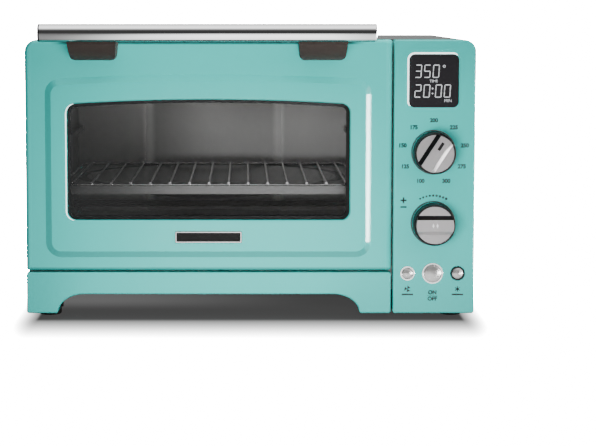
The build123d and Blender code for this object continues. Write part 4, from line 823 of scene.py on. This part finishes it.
def flank(bm, x, z, top, turn):
    """Adds a black sheet on the upper slope of a knob's grip, a painted reflection of the dark room; turn is
    the grip's angle.
    """
    sheet_half_thickness = 0.15 * MM
    lean = -0.8
    corners = []
    # Rise over the knob's middle, depth below its face and half length, in millimetres, of the slope's edges
    for rise, depth, half in ((6.15, 0.1, 18.6), (9.85, 4.75, 17.0)):
        for side in (-1, 1):
            along, up = side * half * MM, rise * MM
            corners.append(Vector((
                x + along * cos(turn) - up * sin(turn),
                top + depth * MM,
                z + along * sin(turn) + up * cos(turn),
            )))
    out = Vector((-sin(turn), lean, cos(turn))).normalized() * sheet_half_thickness
    skin = [bm.verts.new(corner + out) for corner in corners]
    back = [bm.verts.new(corner - out) for corner in corners]
    order = (0, 1, 3, 2)
    bm.faces.new([skin[i] for i in order])
    bm.faces.new([back[i] for i in reversed(order)])
    for i, j in zip(order, order[1:] + order[:1]):
        bm.faces.new((skin[i], skin[j], back[j], back[i]))


class OVEN_OT_knobs(bpy.types.Operator):
    """Finishes both knobs, with the pointer, the painted reflection on their grips and the pale lozenges of the
    lower one.
    """

    bl_idname = "oven.knobs"
    bl_label = "Knobs"

    rim_radius: bpy.props.FloatProperty(
        name="Rim radius", description="Where the black rim of a knob starts",
        default=19.4 * MM, unit="LENGTH",
    )

    def execute(self, context):
        self.satin_faces(context.scene.oven_colours.knob)
        skirt = moulded("knob_skirt", (0.010, 0.011, 0.011), roughness=0.5, Specular_IOR_Level=0.1)
        dress(skirt, "mode_knob_sleeve", "select_knob_sleeve")
        dress(moulded("knob_bezel", (0.05, 0.075, 0.075), roughness=0.4), "knob_bezels")
        self.grip_reflection_and_marks(context.scene.oven_marks.lift)
        return {"FINISHED"}

    def satin_faces(self, colour):
        """Satin faces with a black rim."""
        face = Finish("knob_satin", colour, roughness=0.32, metallic=0.75)
        face.mottle(50.0, amount=0.08, spread=0.08, stretch=(1.0, 1.0, 14.0))
        face.bump(face.noise(90.0, detail=2.0, stretch=(1.0, 1.0, 30.0)), strength=0.05)
        aside = face.axis("X") - COLUMN_X
        rise = abs(face.axis("Z") - MODE_Z).lower(abs(face.axis("Z") - SELECT_Z))
        face.tint((aside * aside + rise * rise).root() > self.rim_radius, grey(0.008))
        dress(face, "mode_knob", "select_knob")

    def grip_reflection_and_marks(self, lift):
        """Black sheets on both grips as painted reflection, the pointer of the upper knob and the pale lozenges
        of the lower one.
        """
        # One black serves the pointer and the painted reflection on the grips
        ink = moulded("pointer_ink_and_painted_reflection", grey(0.003), roughness=0.6, Specular_IOR_Level=0.1)
        for owner, low, z, turn in (
            ("mode_knob", MODE_LOW, MODE_Z, MODE_TURN), ("select_knob", SELECT_LOW, SELECT_Z, 0.0),
        ):
            bm = bmesh.new()
            flank(bm, COLUMN_X, z, low[Y], turn)
            new_piece(owner + "_flank", bm, ink, owner)

        reach, length, width = 9.2 * MM, 9.0 * MM, 3.0 * MM
        x, z = COLUMN_X + reach * cos(MODE_TURN), MODE_Z + reach * sin(MODE_TURN)
        bm = bmesh.new()
        plate(bm, turned_bar(x, z, length, width, MODE_TURN), MODE_LOW[Y] - lift, 2 * lift)
        new_piece("mode_pointer", bm, ink, "mode_knob")

        # Two pale lozenges on the lower knob's grip
        apart, half_width, half_height = 2.1 * MM, 1.1 * MM, 2.6 * MM
        bm = bmesh.new()
        for x in (COLUMN_X - apart, COLUMN_X + apart):
            lozenge = [
                (x - half_width, SELECT_Z), (x, SELECT_Z - half_height),
                (x + half_width, SELECT_Z), (x, SELECT_Z + half_height),
            ]
            plate(bm, lozenge, SELECT_LOW[Y] - lift, 2 * lift)
        new_piece("select_lozenges", bm, moulded("lozenge_pale", grey(0.9), 0.4), "select_knob")


class OVEN_OT_buttons(bpy.types.Operator):
    """Finishes the push buttons and their rings."""

    bl_idname = "oven.buttons"
    bl_label = "Buttons"

    def execute(self, context):
        cap = Finish("button_satin", (0.42, 0.41, 0.405), roughness=0.30, metallic=0.7)
        cap.mottle(60.0, amount=0.10, spread=0.08)
        dress(cap, "convection_button", "start_button", "defrost_button")
        rings = polished("button_ring", (0.85, 0.86, 0.86), roughness=0.18)
        right_ring = rings.axis("X") > middle(START_HIGH, DEFROST_LOW, X)
        rings.tint(right_ring, (0.02, 0.035, 0.035))
        dress(rings, "button_bezels")
        return {"FINISHED"}


# Strokes of each figure: a top, b and c right, d foot, e and f left, g middle
SEGMENTS = {
    "0": "abcdef", "1": "bc", "2": "abged", "3": "abgcd", "4": "fgbc",
    "5": "afgcd", "6": "afgedc", "7": "abc", "8": "abcdefg", "9": "abcdfg",
}


def lit_digit(bm, figure, x, z, width, height):
    """Adds the seven-segment strokes of one figure, leaning a little to the right."""
    stroke = width * 0.17
    lean = 0.07
    half = height / 2
    flat, upright = (width - stroke / 2, stroke), (stroke, half - stroke / 2)
    bars = {
        "a": (0, half, flat), "g": (0, 0, flat), "d": (0, -half, flat),
        "f": (-width / 2, half / 2, upright), "b": (width / 2, half / 2, upright),
        "e": (-width / 2, -half / 2, upright), "c": (width / 2, -half / 2, upright),
    }
    for name in SEGMENTS[figure]:
        dx, dz, size = bars[name]
        plate(bm, [(x + px + lean * pz, z + pz) for px, pz in turned_bar(dx, dz, *size)], LENS_FRONT)


class OVEN_OT_display(bpy.types.Operator):
    """Makes the dark screen with its lit figures, and finishes what lies behind it."""

    bl_idname = "oven.display"
    bl_label = "Display"

    def execute(self, context):
        screen = Finish("screen_dark", (0.021, 0.0197, 0.022), roughness=0.2, Specular_IOR_Level=0.08)
        screen.mottle(30.0, amount=0.2, spread=0.05)
        dress(screen, "display_lens")
        lit = Finish(
            "figure_lit", (0.45, 0.46, 0.48), roughness=0.5,
            Emission_Color=(0.80, 0.82, 0.85, 1.0), Emission_Strength=0.22,
        )
        lit.mottle(200.0, amount=0.06, spread=0.05)
        self.light_figures(lit, context.scene.oven_marks.digit_height)
        self.paint_rim_glint()
        for name, text, right, down, height in (
            ("lit_caption", "TIME", 25.5, 28.0, 2.9), ("lit_units", "MIN", 40.5, 48.4, 3.2),
        ):
            printed_text(name, text, *self.spot(right, down), height * MM, LENS_FRONT, lit, "screen_black")
        inside = moulded("component_black", grey(0.03), roughness=0.5)
        dress(inside, "display_module", "encoders", "button_switches", "select_plunger")
        dress(moulded("board_green", (0.02, 0.12, 0.05), roughness=0.35), "control_board", "power_board")
        return {"FINISHED"}

    def spot(self, right, down):
        """Place on the screen, in millimetres from its upper left corner."""
        return LENS_LOW[X] + right * MM, LENS_HIGH[Z] - down * MM

    def light_figures(self, lit, height):
        """Two rows of figures, with a colon and a degree ring."""
        width = height * 0.46
        pitch, upper_row, lower_row = 9.2, 17.6, 38.2
        colon, colon_half, colon_radius = 24.4, 2.6, 0.9 * MM
        degree, degree_row, degree_outer, degree_inner = 36.4, 12.4, 1.5 * MM, 0.8 * MM
        bm = bmesh.new()
        for figures, start, row in (("350", 9.6, upper_row), ("20", 9.2, lower_row), ("00", 30.6, lower_row)):
            for i, figure in enumerate(figures):
                lit_digit(bm, figure, *self.spot(start + pitch * i, row), width, height)
        for down in (lower_row + colon_half, lower_row - colon_half):
            plate(bm, circle(*self.spot(colon, down), colon_radius, steps=12), LENS_FRONT)
        outer, inner = (
            circle(*self.spot(degree, degree_row), radius, steps=16)
            for radius in (degree_outer, degree_inner)
        )
        ring(bm, outer, inner, LENS_FRONT)
        new_piece("lit_figures", bm, lit, "oven_body")

    def paint_rim_glint(self):
        """Painted highlight: a glowing strip round the left and top of the screen, standing for a glint on its
        bevel.
        """
        corner = 6.0 * MM
        left, right = LENS_LOW[X] + corner, LENS_HIGH[X] - corner
        foot, top = LENS_LOW[Z] + corner, LENS_HIGH[Z] - corner
        corners = ((left, foot, corner, 225, 180), (left, top, corner, 180, 90), (right, top, corner, 90, 45))
        bm = bmesh.new()
        glint_band(bm, corners, gap=0.3 * MM, width=2.0 * MM, front=PANEL_FACE - PROUD)
        new_piece("display_glint_strip", bm, glint_strip_finish("display_glint_paint"), "oven_body")


class OVEN_OT_print(bpy.types.Operator):
    """Prints plain figures and signs round the knobs and under the buttons."""

    bl_idname = "oven.print"
    bl_label = "Panel print"

    def execute(self, context):
        marks = context.scene.oven_marks
        ink = moulded("panel_ink", context.scene.oven_colours.figures, roughness=0.45)
        front = PANEL_FACE - 0.04 * MM

        def letter(name, text, x, z, height):
            printed_text(name, text, x, z, height, front, ink, "aqua_enamel", marks.bold)

        lowest, step, count, apart = 100, 25, 9, 39
        for i in range(count):
            turn = radians(apart * (i - count // 2))
            x, z = COLUMN_X + marks.print_radius * sin(turn), MODE_Z + marks.print_radius * cos(turn)
            letter(f"dial_figure_{i + 1}", str(lowest + step * i), x, z, marks.print_height)
        bm = bmesh.new()
        self.knob_signs(bm, front)
        self.button_signs(bm, front)
        new_piece("panel_signs", bm, ink, "oven_body")
        on_drop, off_drop, letter_height = 20.4 * MM, 27.0 * MM, 4.0 * MM
        letter("start_on", "ON", COLUMN_X, BUTTON_Z - on_drop, letter_height)
        letter("start_off", "OFF", COLUMN_X, BUTTON_Z - off_drop, letter_height)
        return {"FINISHED"}

    def knob_signs(self, bm, front):
        """Arc of growing dots over the lower knob, with a plus and a minus on its left."""
        arc_radius, count, apart, first_dot, dot_growth = 29.0 * MM, 9, 7, 1.0 * MM, 0.05 * MM
        for i in range(count):
            turn = radians(apart * (i - count // 2))
            x, z = COLUMN_X + arc_radius * sin(turn), SELECT_Z + arc_radius * cos(turn)
            plate(bm, circle(x, z, first_dot + dot_growth * i, steps=12), front)
        sign_x, plus_z, minus_z = COLUMN_X - 31.0 * MM, SELECT_Z + 24.0 * MM, SELECT_Z + 17.0 * MM
        length, width = 6.4 * MM, 1.6 * MM
        for z, angle in ((plus_z, 0.0), (plus_z, pi / 2), (minus_z, 0.0)):
            plate(bm, turned_bar(sign_x, z, length, width, angle), front)

    def button_signs(self, bm, front):
        """Fan sign, frost sign and plain bars under the buttons."""
        sign_z, bar_z, rule_z = (BUTTON_Z - drop * MM for drop in (16.6, 22.4, 23.8))
        fan_x = middle(CONVECTION_LOW, CONVECTION_HIGH, X)
        frost_x = middle(DEFROST_LOW, DEFROST_HIGH, X)
        tip_reach, side_reach, sweep = 3.9 * MM, 3.5 * MM, 1.3
        frost_stroke, bar, rule = (6.2 * MM, 1.0 * MM), (12.0 * MM, 1.6 * MM), (11.0 * MM, 0.4 * MM)
        for i in range(3):
            turn = radians(90 + 120 * i)
            tip = (fan_x + tip_reach * cos(turn), sign_z + tip_reach * sin(turn))
            side = (fan_x + side_reach * cos(turn - sweep), sign_z + side_reach * sin(turn - sweep))
            plate(bm, [(fan_x, sign_z), side, tip], front)
        for i in range(3):
            plate(bm, turned_bar(frost_x, sign_z, *frost_stroke, radians(30 + 60 * i)), front)
        for x in (fan_x, frost_x):
            plate(bm, turned_bar(x, bar_z, *bar), front)
        plate(bm, turned_bar(COLUMN_X, rule_z, *rule), front)


class OVEN_OT_stage(bpy.types.Operator):
    """Sets up the pale floor, the soft light and the camera."""

    bl_idname = "oven.stage"
    bl_label = "Studio"

    def execute(self, context):
        scene = context.scene
        studio = scene.oven_studio
        self.lay_floor(scene, studio.glint)
        self.light_sky(scene)
        self.hang_panel(
            scene, "overhead_light", place=(0.2, 1.6, 2.4), target=(0.0, 1.0, 0.0), size=(4.5, 4.0),
            power=studio.overhead, mirrored=False,
        )
        self.hang_panel(
            scene, "right_light", place=(2.2, -1.4, 1.0), target=(0.0, -0.1, 0.15), size=(1.4, 1.6),
            power=studio.side,
        )
        self.hang_panel(
            scene, "front_light", place=(0.0, -0.66, 0.10), target=(0.0, -0.15, 0.11), size=(0.3, 0.2),
            power=studio.front, mirrored=False,
        )
        self.place_camera(scene, studio)
        return {"FINISHED"}

    def lay_floor(self, scene, glint):
        """Wide sheet of pale paper."""
        bm = bmesh.new()
        bmesh.ops.create_grid(bm, x_segments=8, y_segments=8, size=6.0)
        mesh = bpy.data.meshes.new("floor")
        bm.to_mesh(mesh)
        bm.free()
        floor = bpy.data.objects.new("floor", mesh)
        scene.collection.objects.link(floor)
        mesh.materials.append(self.floor_paper(glint).material)

    def floor_paper(self, glint):
        """White paper with the oven's soft shadow painted on it, and what the enamel and chrome mirror of it.
        """
        paper = Finish("floor_paper", grey(0.05), roughness=0.9, Specular_IOR_Level=0.0)
        paper.mottle(2.0, amount=0.01, spread=0.02)
        across = paper.axis("X")
        ahead = -paper.axis("Y")

        # Distance from the oven's foot that the painted shadow follows, tucked in under it and shorter at its
        # sides and behind it
        tuck, side_squeeze, rear_squeeze, shade_reach = 0.012, 4.5, 2.0, 0.15
        front = (ahead + (PANEL_FACE + tuck)).higher(0.0)
        side = (abs(across) + (LEFT_END + tuck)).higher(0.0) * side_squeeze
        behind = (-ahead - REAR_END).higher(0.0) * rear_squeeze
        clear = (front * front + side * side + behind * behind).root().lower(shade_reach)

        # Painted shadow: white that grows by powers of two out of the shade, and faint painted light under the
        # base's arch
        growth, start = 59.0, 2.33
        contact_fade, arch_depth, arch_width = (0.0, 0.02), (-0.13, -0.06), (-0.19, 0.10)
        contact = paper.ease(clear, *contact_fade, 0.28, 1.0)
        arch = paper.ease(ahead + PANEL_FACE, *arch_depth, 0.08, 0.0)
        arch = arch * paper.ease(across, *arch_width, 1.0, 0.0)
        white = (clear * growth - start).as_power_of_two() * contact + arch

        # Paper before the door, and the lit wedge on the right that the enamel mirrors
        near_middle, near_depth, near_width, near_shade = 0.06, (0.2, 2.8), (0.08, 0.34), (0.0, 0.05)
        wedge_slant, wedge_edge, wedge_side, wedge_depth = 0.75, (0.0, 0.2), (0.38, 0.5), (0.15, 0.4)
        near = paper.ease(ahead, *near_depth, 1.0, 0.02)
        near = near * paper.ease(abs(across - near_middle), *near_width, 1.0, 0.2)
        near = near * paper.ease(front, *near_shade, 0.0, 1.0)
        wedge = paper.ease(across - ahead * wedge_slant, *wedge_edge, 0.0, 1.0)
        wedge = wedge * paper.ease(across, *wedge_side, 0.0, 1.0) * paper.ease(ahead, *wedge_depth, 0.0, 1.0)

        near_mirrored, near_diffuse = 2.6, 0.5
        seen = paper.node("ShaderNodeLightPath", output="Is Camera Ray")
        mirrored = paper.node("ShaderNodeLightPath", output="Is Glossy Ray")
        glow = mirrored * (near * near_mirrored + wedge * glint) + (1.0 - mirrored) * near * near_diffuse
        matt = Value(paper, paper.shader.outputs[0])
        lit = paper.node("ShaderNodeEmission", inputs={"Strength": BRIGHTEST})
        unseen_paper = paper.blend(glow * (1.0 / BRIGHTEST), matt, lit)
        seen_paper = paper.blend(white * (1.0 / BRIGHTEST), matt, lit)
        surface = paper.node_tree.nodes["Material Output"].inputs["Surface"]
        paper.feed(surface, paper.blend(seen, unseen_paper, seen_paper))
        return paper

    def light_sky(self, scene):
        """Dim room with a soft ceiling and a white backdrop."""
        world = bpy.data.worlds.new("studio")
        scene.world = world
        world.use_nodes = True
        sky = ShaderTree(world.node_tree)
        ceiling_fade, backdrop = (0.45, 1.0), 40.0
        ceiling = sky.ease(sky.part("Generated", "Z"), *ceiling_fade, 0.05, 2.2)
        seen = sky.node("ShaderNodeLightPath", output="Is Camera Ray")
        background = sky.node_tree.nodes["Background"]
        sky.feed(background.inputs["Color"], (1.0, 1.0, 1.0, 1.0))
        sky.feed(background.inputs["Strength"], seen * backdrop + ceiling)

    def hang_panel(self, scene, name, place, target, size, power, mirrored=True):
        """Soft light panel that looks at its target."""
        light = bpy.data.lights.new(name, "AREA")
        light.shape = "RECTANGLE"
        light.size, light.size_y = size
        light.energy = power
        lamp = bpy.data.objects.new(name, light)
        lamp.location = place
        lamp.rotation_euler = (Vector(target) - Vector(place)).to_track_quat("-Z", "Y").to_euler()
        lamp.visible_glossy = mirrored
        scene.collection.objects.link(lamp)

    def place_camera(self, scene, studio):
        """Camera before the oven, a little above its top."""
        camera = bpy.data.cameras.new("camera")
        camera.lens = studio.lens
        camera.sensor_width = 36.0
        camera.shift_x = 0.0897
        camera.shift_y = -0.12
        camera.clip_start = 0.05
        eye = bpy.data.objects.new("camera", camera)
        eye.location = (studio.sideways, PANEL_FACE - studio.distance, studio.height)
        eye.rotation_euler = (pi / 2 - studio.tilt, 0.0, 0.0)
        scene.collection.objects.link(eye)
        scene.camera = eye


class OVEN_PT_sidebar(bpy.types.Panel):
    """Lists the oven's finishes and pieces."""

    bl_label = "Toaster oven"
    bl_idname = "OVEN_PT_sidebar"
    bl_space_type = "VIEW_3D"
    bl_region_type = "UI"
    bl_category = "Oven"

    def draw(self, context):
        for group in (context.scene.oven_colours, context.scene.oven_marks, context.scene.oven_studio):
            box = self.layout.box()
            for name in group.__annotations__:
                box.prop(group, name)
        for operator in OPERATORS:
            self.layout.operator(operator.bl_idname)


GROUPS = {"oven_colours": OvenColours, "oven_marks": OvenMarks, "oven_studio": OvenStudio}
OPERATORS = (
    OVEN_OT_front, OVEN_OT_casing, OVEN_OT_screw_slots, OVEN_OT_cavity, OVEN_OT_rack, OVEN_OT_window,
    OVEN_OT_handle, OVEN_OT_badge, OVEN_OT_knobs, OVEN_OT_buttons, OVEN_OT_display, OVEN_OT_print,
    OVEN_OT_stage,
)


def register():
    for group in GROUPS.values():
        bpy.utils.register_class(group)
    for operator in OPERATORS:
        bpy.utils.register_class(operator)
    bpy.utils.register_class(OVEN_PT_sidebar)
    for name, group in GROUPS.items():
        setattr(bpy.types.Scene, name, bpy.props.PointerProperty(type=group))


def unregister():
    for name in GROUPS:
        delattr(bpy.types.Scene, name)
    bpy.utils.unregister_class(OVEN_PT_sidebar)
    for operator in reversed(OPERATORS):
        bpy.utils.unregister_class(operator)
    for group in reversed(GROUPS.values()):
        bpy.utils.unregister_class(group)


def main():
    register()
    bpy.ops.oven.front()
    bpy.ops.oven.casing()
    bpy.ops.oven.screw_slots()
    bpy.ops.oven.cavity()
    bpy.ops.oven.rack()
    bpy.ops.oven.window()
    bpy.ops.oven.handle()
    bpy.ops.oven.badge()
    bpy.ops.oven.knobs()
    bpy.ops.oven.buttons()
    bpy.ops.oven.display()
    bpy.ops.oven.print()
    bpy.ops.oven.stage()


if __name__ == "__main__":
    main()
